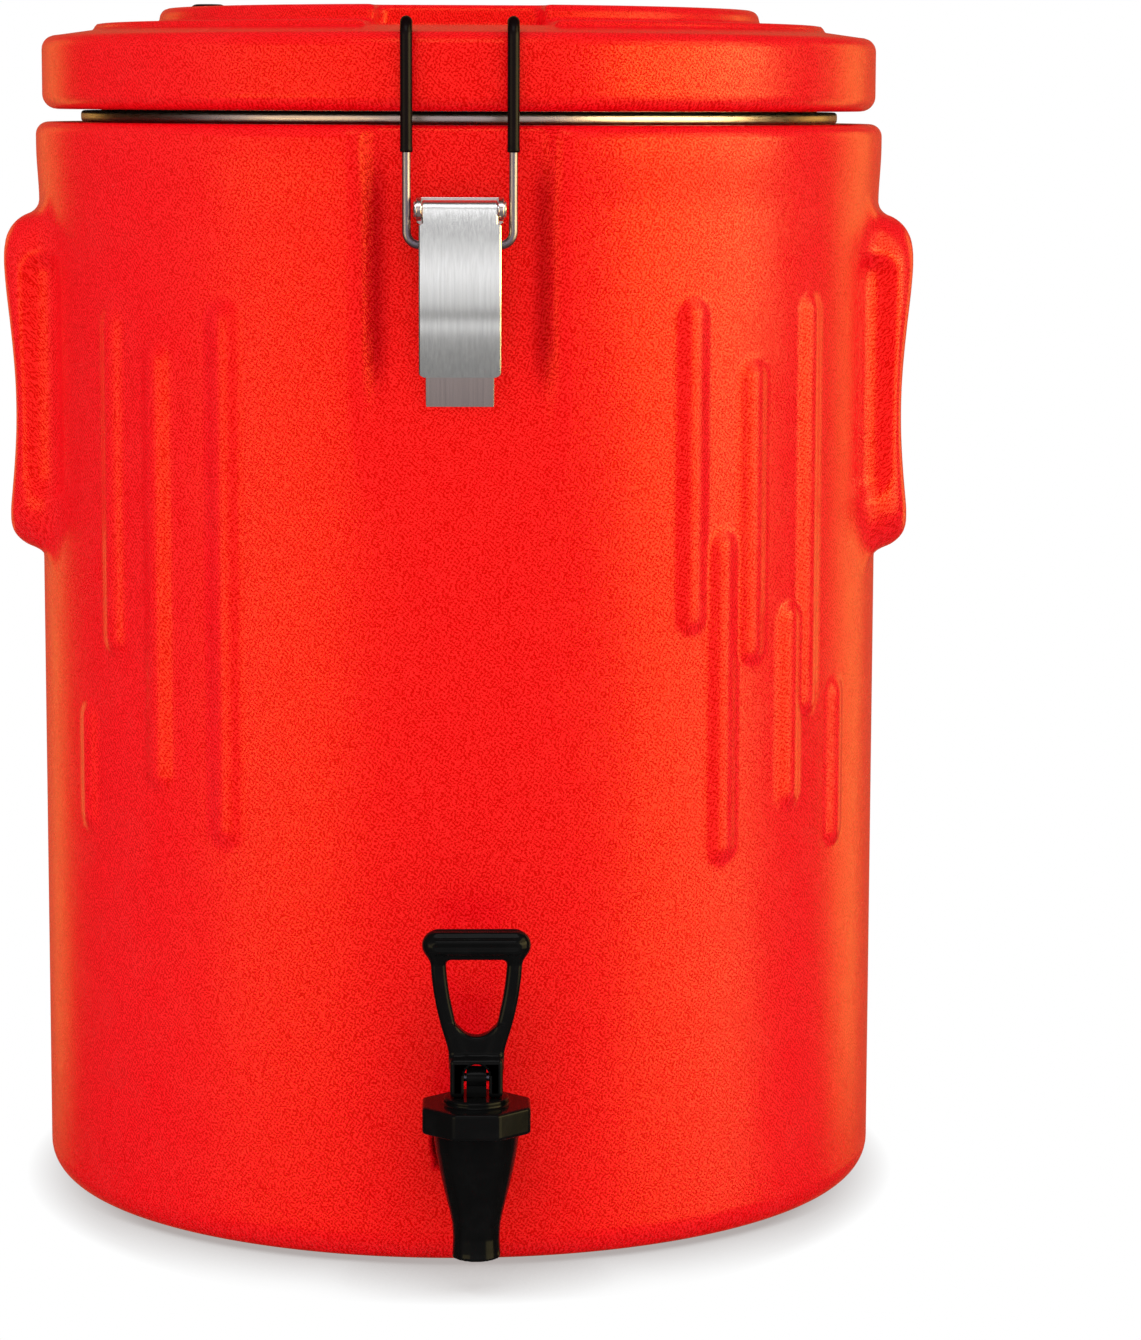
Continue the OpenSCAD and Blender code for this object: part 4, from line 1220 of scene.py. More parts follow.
    def shell_mesh(self) -> MeshData:
        """Meshes the outside, the shoulder's top, the opening for the liner and the base.

        Returns:
            The mesh.
        """
        half = Spacing.lines(*self.angle_grid)[:-1]
        angles = np.radians(np.concatenate((half, half + 180)))
        radii, heights = Spacing.lines(*self.radius_grid), Spacing.lines(*self.height_grid)
        net = FieldNet((radii, angles, heights), self.distance, True, self.painted_corner_shade).build()
        inner = net.extend(net.rim(self.height), self.bore, self.height, up=True)
        floor = net.extend(inner, self.bore, self.bore_floor, up=True)
        net.cap(floor, up=True)
        self.close_base(net)
        return net

    def close_base(self, net: MeshData) -> None:
        """Fills the base, round the seat of its plug.

        Args:
            net: The mesh, which gets the new faces.
        """
        rim = net.rim(0.0)
        centre_y, radius, deep = self.plug
        sides = self.plug_sides
        angle = np.linspace(0, 2 * math.pi, sides, endpoint=False)
        across, along = radius * np.cos(angle), centre_y + radius * np.sin(angle)
        start = len(net.points)
        for height in (0.0, deep):
            circle = np.stack((across, along, np.full(sides, height)), -1)
            net.points = np.concatenate((net.points, circle))
        low, high = list(range(start, start + sides)), list(range(start + sides, start + 2 * sides))
        filler = bmesh.new()
        ids = rim + low
        verts = [filler.verts.new(net.points[v]) for v in ids]
        edges = []
        for first, count in ((0, len(rim)), (len(rim), sides)):
            for i in range(count):
                edges.append(filler.edges.new((verts[first + i], verts[first + (i + 1) % count])))
        filled = bmesh.ops.triangle_fill(filler, use_beauty=True, edges=edges, normal=(0, 0, -1))
        filler.verts.index_update()
        for face in [g for g in filled["geom"] if isinstance(g, bmesh.types.BMFace)]:
            order = [ids[v.index] for v in face.verts]
            net.faces.append(tuple(order if face.normal.z < 0 else reversed(order)))
        filler.free()
        for i in range(sides):
            j = (i + 1) % sides
            net.faces.append((low[i], high[i], high[j], low[j]))
        net.cap(high, up=False)

    def liner_mesh(self) -> MeshData:
        """Turns the steel liner with its flange and rolled rim.

        Returns:
            The mesh.
        """
        inner, wall, floor, corner = self.liner
        rim_r, bead, square = self.rim
        bends, rolls, sides = self.liner_steps
        bend = np.linspace(0, math.pi / 2, bends)
        middle_r, middle_z, outer = inner - corner, floor + corner, corner + wall
        outside = [(middle_r + outer * math.sin(a), middle_z - outer * math.cos(a)) for a in bend]
        start = math.pi + math.asin((bead - wall) / bead) ** (1 / square)
        turn = np.linspace(-math.pi / 2, start, rolls)
        roll_r = rim_r - bead + bead * np.sign(np.cos(turn)) * np.abs(np.cos(turn)) ** square
        roll_z = self.height + bead + bead * np.sign(np.sin(turn)) * np.abs(np.sin(turn)) ** square
        lip = wall / 2
        lip_r, lip_z = inner + lip, self.height + wall - lip
        edge = [(lip_r - lip * math.sin(a), lip_z + lip * math.cos(a)) for a in bend]
        inside = [(middle_r + corner * math.cos(a), middle_z - corner * math.sin(a)) for a in bend]
        under, over = (self.pole, floor - wall), (self.pole, floor)
        flange = (inner + wall, self.height)
        profile = [under, *outside, flange, *zip(roll_r, roll_z), *edge, *inside, over]
        return Solids.lathe(profile, sides)

    def build(self, kit: Kit) -> None:
        """Builds and dresses the barrel's pieces.

        Args:
            kit: Finishes and CAD nodes.
        """
        shell = self.shell_mesh().to_object("barrel_shell", kit.finishes[Slot.RED_SHELL])
        kit.stand_for(shell, Body.BARREL, Slot.RED_SHELL, "outer_shell")
        liner = self.liner_mesh().to_object("rolled_rim_liner", kit.finishes[Slot.LINER_STEEL])
        kit.stand_for(liner, Body.BARREL, Slot.LINER_STEEL, "inner_liner")
        kit.dress(Slot.FOAM, "body_foam")
        kit.dress(Slot.BLACK_PLASTIC, "base_plug")


@dataclass(frozen=True)
class LidRounds:
    """Radii of the lid's round edges and fillets.

    Attributes:
        top: The outer edge's top.
        foot: The outer edge's underside.
        plug: The fillet over the plug.
        step: The low step's edge.
        ledge: The fillet between the ledge and the step.
        ring: The fillet at the raised ring's foot.
        lip: The dish's lip in the ring.
        dish: The dish's floor.
        notch: The notch's corners.
        notch_floor: The notch's floor.
        notch_lip: The notch's lip.
        groove: The gasket groove's lip.
        vent: The lip of the vent's pocket.
        hole: The lip of the vent's hole.
    """

    top: float = 5.5
    foot: float = 6.0
    plug: float = 2.0
    step: float = 1.8
    ledge: float = 1.5
    ring: float = 3.0
    lip: float = 3.0
    dish: float = 2.5
    notch: float = 5.0
    notch_floor: float = 2.0
    notch_lip: float = 3.0
    groove: float = 0.4
    vent: float = 1.6
    hole: float = 0.4


@dataclass
class Lid:
    """The moulded lid with its ledge, raised ring, dish, notches and vent.

    Attributes:
        radius: Outer radius.
        low: Height of the underside.
        edge: Height of the outer edge's top.
        rounds: Radii of its edges and fillets.
        ledge: Radius where the ledge ends and its height there.
        step: Height of the low step.
        buried: How far above the underside the step and the ring start, inside the lid.
        ring: Radius, height and edge radius of the raised ring.
        dish: Radius and floor height of the dish.
        notch: Half width at the mouth and at the back, and distance of the back from the axis.
        plug: Radius, bottom height and edge radius of the plug under the lid.
        groove: Middle radius, width and depth of the gasket's groove.
        vent: Distance to the left, pocket radius, floor height and hole radius.
        half_grid: Grid lines from the front notch to the rear one, in degrees from the front, as a start
            and then steps and ends.
        vent_grid: Grid lines across the vent, in degrees from the right, in the same way.
        vent_margin: How far outside the vent's lines the others start again, in degrees.
        radius_grid: Grid lines of the radius, in the same way.
        height_grid: Grid lines of the height, in the same way.
    """

    radius: float = 167.3
    low: float = 432.0
    edge: float = 461.0
    rounds: LidRounds = LidRounds()
    ledge: Pair = (146.3, 463.2)
    step: float = 465.6
    buried: float = 9.0
    ring: tuple[float, float, float] = (120.3, 471.8, 4.0)
    dish: Pair = (82.3, 465.8)
    notch: tuple[float, float, float] = (36.0, 30.0, 100.3)
    plug: tuple[float, float, float] = (124.0, 414.0, 6.0)
    groove: tuple[float, float, float] = (139.35, 10.0, 2.0)
    vent: tuple[float, float, float, float] = (101.0, 13.0, 463.8, 6.25)
    half_grid: tuple[float, ...] = (-22, 0.6, 22, 2.0, 158)
    vent_grid: tuple[float, float, float] = (170, 0.5, 190)
    vent_margin: float = 0.1
    radius_grid: tuple[float, ...] = (4, 12, 64, 3, 73, 1.0, 85, 1.2, 126, 1.6, 170)
    height_grid: tuple[float, ...] = (412, 1.5, 421, 4.0, 429, 1.0, 440, 4.0, 455, 1.0, 474)

    def cover(self, r: Array, z: Array) -> Array:
        """Measures the distance to the sloping cover with its plug.

        Args:
            r: Points' distances from the axis.
            z: Points' z.

        Returns:
            The distance.
        """
        rounds = self.rounds
        ledge_r, ledge_z = self.ledge
        flat_r = self.radius - rounds.top
        climb = (ledge_z - self.edge) / (flat_r - ledge_r)
        top = z - self.edge - climb * np.clip(flat_r - r, 0, flat_r - ledge_r)
        upper = Blend.corner(r - self.radius, top, rounds.top)
        solid = np.maximum(upper, Blend.corner(r - self.radius, self.low - z, rounds.foot))
        plug_r, plug_z, plug_round = self.plug
        plug = np.maximum(Blend.corner(r - plug_r, plug_z - z, plug_round), z - self.edge)
        return Blend.join(solid, plug, rounds.plug)

    def steps(self, x: Array, y: Array, r: Array, z: Array) -> Array:
        """Measures the distance to the low step and the ring, with the dish and the two notches cut in.

        Args:
            x: Points' x.
            y: Points' y.
            r: Points' distances from the axis.
            z: Points' z.

        Returns:
            The distance.
        """
        rounds = self.rounds
        ledge_r, ledge_z = self.ledge
        sunk = self.low + self.buried - z
        step = np.maximum(Blend.corner(r - ledge_r, z - self.step, rounds.step), sunk)
        ring_r, ring_z, ring_round = self.ring
        ring = np.maximum(Blend.corner(r - ring_r, z - ring_z, ring_round), sunk)
        dish_r, dish_z = self.dish
        bowl = Blend.meet(dish_z - z, (r - dish_r + ring_z - z) * math.sqrt(0.5), rounds.dish)
        ring = Blend.cut(ring, bowl, rounds.lip)
        solid = Blend.cut(Blend.join(step, ring, rounds.ring), bowl, rounds.dish)
        mouth, back, back_r = self.notch
        front = np.abs(y)
        width = back + (mouth - back) * (front - back_r) / (ledge_r - back_r)
        notch = Blend.meet(np.abs(x) - width, back_r - front, rounds.notch)
        return Blend.cut(solid, Blend.meet(notch, ledge_z - z, rounds.notch_floor), rounds.notch_lip)

    def distance(self, x: Array, y: Array, z: Array) -> Array:
        """Measures the distance to the lid's outside.

        Args:
            x: Points' x.
            y: Points' y.
            z: Points' z.

        Returns:
            The distance, negative inside.
        """
        rounds = self.rounds
        r = np.hypot(x, y)
        solid = Blend.join(self.cover(r, z), self.steps(x, y, r, z), rounds.ledge)
        groove_r, groove_w, groove_d = self.groove
        groove = np.maximum(np.abs(r - groove_r) - groove_w / 2, z - self.low - groove_d)
        solid = Blend.cut(solid, groove, rounds.groove)
        vent_x, pocket_r, pocket_z, hole = self.vent
        away = np.hypot(x + vent_x, y)
        solid = Blend.cut(solid, np.maximum(away - pocket_r, pocket_z - z), rounds.vent)
        return Blend.cut(solid, away - hole, rounds.hole)

    def shell_mesh(self) -> MeshData:
        """Meshes the lid's outside.

        Returns:
            The mesh.
        """
        half = Spacing.lines(*self.half_grid)[:-1]
        around = (np.concatenate((half, half + 180)) - 90) % 360
        first, _, last = self.vent_grid
        clear = (around < first - self.vent_margin) | (around > last + self.vent_margin)
        angles = np.sort(np.concatenate((around[clear], Spacing.lines(*self.vent_grid))))
        radii, heights = Spacing.lines(*self.radius_grid), Spacing.lines(*self.height_grid)
        net = FieldNet((radii, np.radians(angles), heights), self.distance, polar=True).build()
        net.cap(net.rim(self.dish[1]), up=True)
        net.cap(net.rim(self.plug[1]), up=False)
        return net

    def build(self, kit: Kit) -> None:
        """Builds and dresses the lid's pieces.

        Args:
            kit: Finishes and CAD nodes.
        """
        shell = self.shell_mesh().to_object("lid_cover", kit.finishes[Slot.RED_LID])
        kit.stand_for(shell, Body.LID, Slot.RED_LID, "lid_shell")
        kit.dress(Slot.FOAM, "lid_foam")
        kit.dress(Slot.DARK_RUBBER, "lid_gasket")
        kit.dress(Slot.BLACK_PLASTIC, "vent_seat", "vent_plug")


@dataclass
class ToggleLatch:
    """A wire-bail toggle latch: base plate with ears, pin, lever, bail and vinyl sleeves.

    Attributes:
        side: The side of the barrel.
        sheet: Thickness of the steel sheet.
        plate: Width of the base plate, its back's distance from the axis, its bottom and its top.
        neck: Distance of the plate's narrow top below the ears, and the height of its slope.
        ear: Inner distance from the middle, thickness and radius of an ear.
        ear_tuck: How far an ear reaches into the plate.
        ear_steps: Points round an ear.
        bevels: Edge radii of the plate, an ear and a cheek.
        hinge: Distance of the hinge from the axis, its height and the pin's radius.
        head: Points of a pin's peened head, from the pin's edge.
        sides: Sides of the pin and of the roll.
        roll: Radius, half width and edge of the lever's rolled hinge.
        lever: Width, length and bulge of the lever.
        lever_rings: Outlines along the lever.
        lever_rounds: Radii of the lever's corners and of its edges.
        clear: Gap between the ears and the lever's full width.
        crease: Distance of the lever's crease from the hinge, its depth and its half width.
        cheek: Place, half height, back and cut corner of the lever's cheeks.
        pivot: Distance of the bail's pivot from the axis and its height.
        wire: Radius of the wire, width between the arms and bend radius.
        wire_steps: Points along the half crossbar, a bend, an arm and a hook.
        hook: Height of the hooks and the distance of their tips from the axis.
        sleeve: Outer radius of a sleeve and the length of its straight part.
        cuff: Heights over a sleeve's lower end and what its radius gains there.
        cuff_top: Height over the lower end from which the sleeve follows the wire.
        tip: Distances past the hook's end and shares of the sleeve's radius there.
        sharp: Angle from which an edge is shaded as sharp, in degrees.
    """

    side: Side
    sheet: float = 1.5
    plate: tuple[float, float, float, float] = (25.4, 161.0, 323.5, 400.9)
    neck: Pair = (3.0, 2.0)
    ear: tuple[float, float, float] = (14.1, 1.8, 4.2)
    ear_tuck: float = 0.3
    ear_steps: int = 19
    bevels: tuple[float, float, float] = (0.3, 0.35, 0.25)
    hinge: tuple[float, float, float] = (172.25, 396.7, 2.0)
    head: tuple[Pair, ...] = ((1.2, 0.0), (1.2, 0.5), (0.7, 0.95), (-0.6, 1.15), (-1.8, 1.2))
    sides: int = 40
    roll: tuple[float, float, float] = (3.3, 13.8, 0.5)
    lever: tuple[float, float, float] = (30.0, 61.0, 4.0)
    lever_rings: int = 97
    lever_rounds: Pair = (1.4, 0.45)
    clear: float = 0.8
    crease: tuple[float, float, float] = (40.0, 0.28, 3.4)
    cheek: tuple[float, float, float, float] = (11.8, 6.5, 162.8, 3.0)
    pivot: Pair = (170.75, 383.6)
    wire: tuple[float, float, float] = (1.6, 39.0, 5.0)
    wire_steps: tuple[int, int, int, int] = (6, 13, 30, 5)
    hook: Pair = (464.23, 157.0)
    sleeve: Pair = (2.25, 42.0)
    cuff: tuple[Pair, ...] = ((0.0, -0.35), (0.25, 0.02), (0.8, 0.12), (1.6, 0.06), (2.4, 0.0))
    cuff_top: float = 2.6
    tip: tuple[Pair, ...] = ((0.3, 0.97), (0.6, 0.85), (0.8, 0.68), (0.95, 0.42), (1.0, 0.08))
    sharp: float = 30.0

    @property
    def name(self) -> str:
        """The latch's prefix in node names."""
        return self.side.name.lower()

    @property
    def bodies(self) -> tuple[Body, Body]:
        """The lever's and the bail's bodies."""
        if self.side is Side.FRONT:
            return Body.FRONT_LEVER, Body.FRONT_BAIL
        return Body.REAR_LEVER, Body.REAR_BAIL

    def base_mesh(self) -> MeshData:
        """Makes the base plate with its two ears.

        Returns:
            The mesh of the front one.
        """
        width, back, low, high = self.plate
        ear_in, ear_t, ear_r = self.ear
        hinge_r, hinge_z, _ = self.hinge
        drop, slope = self.neck
        half, wide, wide_z = width / 2, ear_in + ear_t, hinge_z - ear_r - drop
        right = [(half, low), (half, wide_z), (wide, wide_z + slope), (wide, high)]
        outline = right + [(-x, z) for x, z in reversed(right)]
        plate_edge, ear_edge, _ = self.bevels
        plate = Solids.prism(outline, 0, self.sheet, plate_edge)
        made = Solids.placed(plate, Solids.TO_FRONT, (0, -back, 0))
        arc = np.radians(np.linspace(90, 270, self.ear_steps))
        root = -back - self.ear_tuck
        ear = [(root, hinge_z - ear_r), (root, hinge_z + ear_r)]
        ear += [(-hinge_r + ear_r * math.cos(a), hinge_z + ear_r * math.sin(a)) for a in arc]
        for start in (ear_in, -wide):
            part = Solids.prism(ear, start, start + ear_t, ear_edge)
            made = made.join(Solids.placed(part, Solids.ACROSS, (0, 0, 0)))
        return made

    def pin_mesh(self) -> MeshData:
        """Makes the hinge pin with its two peened heads.

        Returns:
            The mesh of the front one.
        """
        end = self.ear[0] + self.ear[1]
        hinge_r, hinge_z, radius = self.hinge
        half = [(radius, end)] + [(radius + out, end + far) for out, far in self.head]
        profile = [(r, -x) for r, x in reversed(half)] + half
        return Solids.placed(Solids.lathe(profile, self.sides), Solids.ACROSS, (0, -hinge_r, hinge_z))

    def strap_ring(self, turn: float, axis: float, bend: float) -> Array:
        """Lists the strap's outline at a place along its bulge.

        Args:
            turn: The place, as an angle about the bulge's axis.
            axis: Distance of that axis from the barrel's axis.
            bend: Radius of the bulge.

        Returns:
            The points.
        """
        width, long, _ = self.lever
        corner, edge = self.lever_rounds
        at, deep, wide = self.crease
        z = self.hinge[1] - long / 2 + bend * math.sin(turn)
        below = z - self.hinge[1]
        reach = bend - self.sheet - deep * math.exp(-(((below + at) / wide) ** 2))
        tip = max(0.0, corner - (below + long))
        half = width / 2 if below < -self.ear[2] - self.clear else self.roll[1]
        half -= corner - math.sqrt(max(0.0, corner**2 - tip**2))
        right = [(half - edge, 0.0), (half, edge), (half, self.sheet - edge), (half - edge, self.sheet)]
        x, out = np.array(right + [(-a, b) for a, b in reversed(right)]).T
        y = -(axis + (reach + out) * math.cos(turn))
        return np.stack((x, y, z - (self.sheet - out) * math.sin(turn)), -1)

    def lever_mesh(self) -> MeshData:
        """Makes the bulging strap, its rolled hinge and the cheeks that hold the bail.

        Returns:
            The mesh of the front one.
        """
        _, long, bulge = self.lever
        hinge_r, hinge_z, _ = self.hinge
        roll_r, roll_half, roll_edge = self.roll
        bend = (long**2 / 4 + bulge**2) / (2 * bulge)
        axis = hinge_r + roll_r + bulge - bend
        swing = math.asin(long / 2 / bend)
        turns = np.linspace(-swing, swing, self.lever_rings)
        made = Solids.loft([self.strap_ring(turn, axis, bend) for turn in turns])
        end = [(roll_r, roll_half - roll_edge), (roll_r - roll_edge, roll_half)]
        roll = Solids.lathe([(r, -x) for r, x in reversed(end)] + end, self.sides)
        made = made.join(Solids.placed(roll, Solids.ACROSS, (0, -hinge_r, hinge_z)))
        place, half, back, cut = self.cheek
        cheek = []
        for sign in (-1, 1):
            z = self.pivot[1] + sign * half
            front = axis + math.sqrt((bend - self.sheet / 2) ** 2 - (z - hinge_z + long / 2) ** 2)
            cheek += [(-front, z), (-back - cut, z), (-back, z - sign * cut)][::-sign]
        for x in (place, -place):
            part = Solids.prism(cheek, x - self.sheet / 2, x + self.sheet / 2, self.bevels[2])
            made = made.join(Solids.placed(part, Solids.ACROSS, (0, 0, 0)))
        return made

    def half_path(self) -> Array:
        """Lists the wire's path from the crossbar's middle to one hook's tip.

        Returns:
            The points, on the right of the front latch.
        """
        pivot_r, pivot_z = self.pivot
        _, width, bend = self.wire
        hook_z, tip_r = self.hook
        bar, curve, straight, hook = self.wire_steps
        arm, inner = width / 2, width / 2 - bend
        low, high, top_r = pivot_z + bend, hook_z - bend, pivot_r - bend
        points = [(x, -pivot_r, pivot_z) for x in np.linspace(0, inner, bar)[:-1]]
        for a in np.radians(np.linspace(-90, 0, curve)):
            points.append((inner + bend * math.cos(a), -pivot_r, low + bend * math.sin(a)))
        points += [(arm, -pivot_r, z) for z in np.linspace(low, high, straight)[1:-1]]
        for a in np.radians(np.linspace(180, 90, curve)):
            points.append((arm, -top_r + bend * math.cos(a), high + bend * math.sin(a)))
        points += [(arm, -r, hook_z) for r in np.linspace(top_r, tip_r, hook)[1:]]
        return np.array(points)

    def turned(self, points: Array) -> Array:
        """Turns points from the front latch to this one."""
        return points * (1, 1, 1) if self.side is Side.FRONT else points * (-1, -1, 1)

    def bail_paths(self) -> list[tuple[Array, Array]]:
        """Gives the wire's path from hook to hook.

        Returns:
            One path with its radii.
        """
        half = self.half_path()
        path = np.concatenate((half[:0:-1] * (-1, 1, 1), half))
        return [(self.turned(path), np.full(len(path), self.wire[0]))]

    def sleeve_paths(self) -> list[tuple[Array, Array]]:
        """Gives the two sleeves' paths, with round tips and a rolled lower end.

        Returns:
            Two paths with their radii.
        """
        radius, long = self.sleeve
        half = self.half_path()
        low = self.hook[0] - self.wire[2] - long
        upper = half[half[:, 2] > low + self.cuff_top]
        start = [(self.wire[1] / 2, -self.pivot[0], low + rise) for rise, _ in self.cuff]
        tip = [upper[-1] + (0, past, 0) for past, _ in self.tip]
        path = np.concatenate((start, upper, tip))
        radii = np.full(len(path), radius)
        radii[: len(start)] += [gain for _, gain in self.cuff]
        radii[-len(tip) :] *= [share for _, share in self.tip]
        return [(self.turned(path * (s, 1, 1)), radii) for s in (1, -1)]

    def build(self, kit: Kit) -> None:
        """Builds and dresses the latch's pieces.

        Args:
            kit: Finishes, tube nodes and CAD nodes.
        """
        steel, vinyl = kit.finishes[Slot.LATCH_STEEL], kit.finishes[Slot.BLACK_VINYL]
        turn = float(self.side.value)
        lever, bail = self.bodies
        made = {
            "latch_base": (self.base_mesh(), Body.BARREL, kit.finishes.plate),
            "latch_pin": (self.pin_mesh(), Body.BARREL, steel),
            "lever": (self.lever_mesh(), lever, steel),
        }
        for part, (mesh, body, finish) in made.items():
            piece = mesh.turned(turn).to_object(f"{self.name}_{part}_steel", finish, self.sharp)
            kit.stand_for(piece, body, Slot.LATCH_STEEL, f"{self.name}_{part}")
        wire = kit.tubes.draw(f"{self.name}_bail_wire", self.bail_paths(), kit.finishes[Slot.BAIL_WIRE])
        kit.stand_for(wire, bail, Slot.BAIL_WIRE, f"{self.name}_bail")
        sleeves = kit.tubes.draw(f"{self.name}_vinyl_sleeves", self.sleeve_paths(), vinyl)
        kit.stand_for(sleeves, bail, Slot.BLACK_VINYL, f"{self.name}_sleeves")
        kit.dress(Slot.LATCH_STEEL, f"{self.name}_latch_screws")


@dataclass(frozen=True)
class TapRounds:
    """Radii of the tap's round edges and fillets.

    Attributes:
        spout: The valve body's ends.
        neck: The fillet between the valve body and the neck.
        flange: The collar's edges.
        collar: The fillet at the collar.
        bore: The bore's lip.
        flats: The edges between the bonnet's flats.
        bonnet: The bonnet's upper and lower edges.
        boss: The boss's edges.
        boss_foot: The fillet round the boss.
        hole: The lip of the stem's hole.
        bar: The fillet between the bar and the arms.
        arm: The arms' edges and the fillets of the neck and fork under them.
        fork: The fork's corners.
        crotch: The lip of the loop's round bottom.
        slot: The slot's lip.
    """

    spout: float = 0.8
    neck: float = 3.5
    flange: float = 0.8
    collar: float = 2.0
    bore: float = 0.6
    flats: float = 0.9
    bonnet: float = 1.3
    boss: float = 1.0
    boss_foot: float = 0.8
    hole: float = 0.5
    bar: float = 2.5
    arm: float = 2.0
    fork: float = 1.5
    crotch: float = 1.5
    slot: float = 0.8


@dataclass
class Tap:
    """The spring-closed tap with its shank through the wall.

    Attributes:
        axis: The spout's place.
        shank_z: Height of the shank.
        rounds: Radii of its edges and fillets.
        outline: Heights and radii of the valve body's outside.
        taper: What a distance beside that outline is multiplied by, because its side leans.
        bore: Radius of the spout's bore and the height of the valve seat.
        shank: Radius of the shank, of its neck and of its collar.
        collar: Where the collar starts and ends, and where the shank ends, from the barrel's axis.
        bonnet: Height, width across the flats and thickness of the octagonal bonnet.
        boss: Radius and top height of the boss on the bonnet, and how far it reaches down into it.
        stem_hole: Radius of the stem's hole in the bonnet.
        bar: Half length, radius and height of the top bar.
        ridges: Count and half height of the bar's ridges, and the length over which they fade at its ends.
        arm: Half width and half depth of the loop's arms.
        arm_points: The arms' centre line beside the bar, at mid height and at the neck.
        arm_past: How far the arms go on past the neck's point and the bar's.
        fork: Half width, half depth, lower and upper height of the fork.
        slot: Half width and top height of the fork's slot.
        crotch: Radius and centre height of the loop's round bottom.
        neck_drop: How far the neck over the fork reaches down into it.
        coil: The spring's radius, its wire's radius, its curls, and the lowest and highest height
            of its wire.
        coil_steps: Points in each curl and sides of its wire.
        lift: How far the stem rises; not used.
        body_grid: Grid lines of the valve body across and along, from the spout's axis, and up, each as
            a start and then steps and ends.
        bonnet_grid: Grid lines of the bonnet, in the same way.
        handle_grid: Grid lines of the handle, in the same way.
    """

    axis: Pair = (6.0, -203.0)
    shank_z: float = 48.0
    rounds: TapRounds = TapRounds()
    outline: tuple[Pair, ...] = (
        (12, 9.0), (13.4, 9.0), (16, 8.75), (21, 8.6), (26, 8.9), (31, 9.9),
        (36, 11.2), (41, 12.4), (47, 13.7), (54, 15.0), (61.5, 16.0), (63, 16.0),
    )
    taper: float = 0.95
    bore: Pair = (6.2, 42.0)
    shank: tuple[float, float, float] = (9.0, 10.5, 15.0)
    collar: tuple[float, float, float] = (173.3, 170.3, 110.25)
    bonnet: tuple[float, float, float] = (61.5, 39.7, 10.0)
    boss: tuple[float, float, float] = (12.0, 74.0, 1.0)
    stem_hole: float = 3.3
    bar: tuple[float, float, float] = (20.2, 5.8, 130.4)
    ridges: tuple[int, float, float] = (9, 0.28, 2.0)
    arm: Pair = (2.8, 3.1)
    arm_points: tuple[Pair, Pair, Pair] = ((14.0, 124.6), (12.3, 109.8), (6.9, 91.0))
    arm_past: Pair = (2.0, 3.0)
    fork: tuple[float, float, float, float] = (9.7, 6.0, 74.3, 89.0)
    slot: Pair = (4.6, 86.9)
    crotch: Pair = (7.4, 104.0)
    neck_drop: float = 4.0
    coil: tuple[float, float, int, float, float] = (6.4, 0.6, 5, 53.305, 65.195)
    coil_steps: tuple[int, int] = (24, 12)
    lift: float = 4.0
    body_grid: Grid = ((-17, 0.9, 17), (-17.5, 0.9, 38, 2.0, 95), (11.5, 0.9, 63))
    bonnet_grid: Grid = ((-23, 0.7, 23), (-23, 0.7, 23), (60.5, 0.55, 75))
    handle_grid: Grid = ((-21.5, 0.6, 21.5), (-7.5, 0.5, 7.5), (73.5, 0.6, 137))

    def body_field(self, x: Array, y: Array, z: Array) -> Array:
        """Measures the distance to the valve body and shank.

        Args:
            x: Points' x.
            y: Points' y.
            z: Points' z.

        Returns:
            The distance.
        """
        rounds = self.rounds
        axis_x, axis_y = self.axis
        heights, radii = np.array(self.outline).T
        away = np.hypot(x - axis_x, y - axis_y)
        side = (away - np.interp(z, heights, radii)) * self.taper
        valve = Blend.meet(side, Blend.between(self.outline[1][0], z, self.bonnet[0]), rounds.spout)
        around = np.hypot(x - axis_x, z - self.shank_z)
        shank_r, neck_r, collar_r = self.shank
        collar_out, collar_in, end = self.collar
        neck = np.maximum(around - neck_r, Blend.between(axis_y, y, -collar_in))
        solid = Blend.join(valve, neck, rounds.neck)
        flange = Blend.meet(around - collar_r, Blend.between(-collar_out, y, -collar_in), rounds.flange)
        solid = Blend.join(solid, flange, rounds.collar)
        solid = np.minimum(solid, np.maximum(around - shank_r, Blend.between(axis_y, y, -end)))
        bore_r, seat_z = self.bore
        return Blend.cut(solid, np.maximum(away - bore_r, z - seat_z), rounds.bore)

    def bonnet_field(self, x: Array, y: Array, z: Array) -> Array:
        """Measures the distance to the octagonal bonnet and its boss.

        Args:
            x: Points' x.
            y: Points' y.
            z: Points' z.

        Returns:
            The distance.
        """
        rounds = self.rounds
        low, flats, tall = self.bonnet
        dx, dy = x - self.axis[0], y - self.axis[1]
        octagon = np.abs(dx) - flats / 2
        for a in np.radians((45, 90, 135)):
            face = np.abs(dx * math.cos(a) + dy * math.sin(a)) - flats / 2
            octagon = Blend.meet(octagon, face, rounds.flats)
        solid = Blend.meet(octagon, Blend.between(low, z, low + tall), rounds.bonnet)
        away = np.hypot(dx, dy)
        boss_r, boss_z, sunk = self.boss
        boss = Blend.meet(away - boss_r, Blend.between(low + sunk, z, boss_z), rounds.boss)
        solid = Blend.join(solid, boss, rounds.boss_foot)
        return Blend.cut(solid, away - self.stem_hole, rounds.hole)

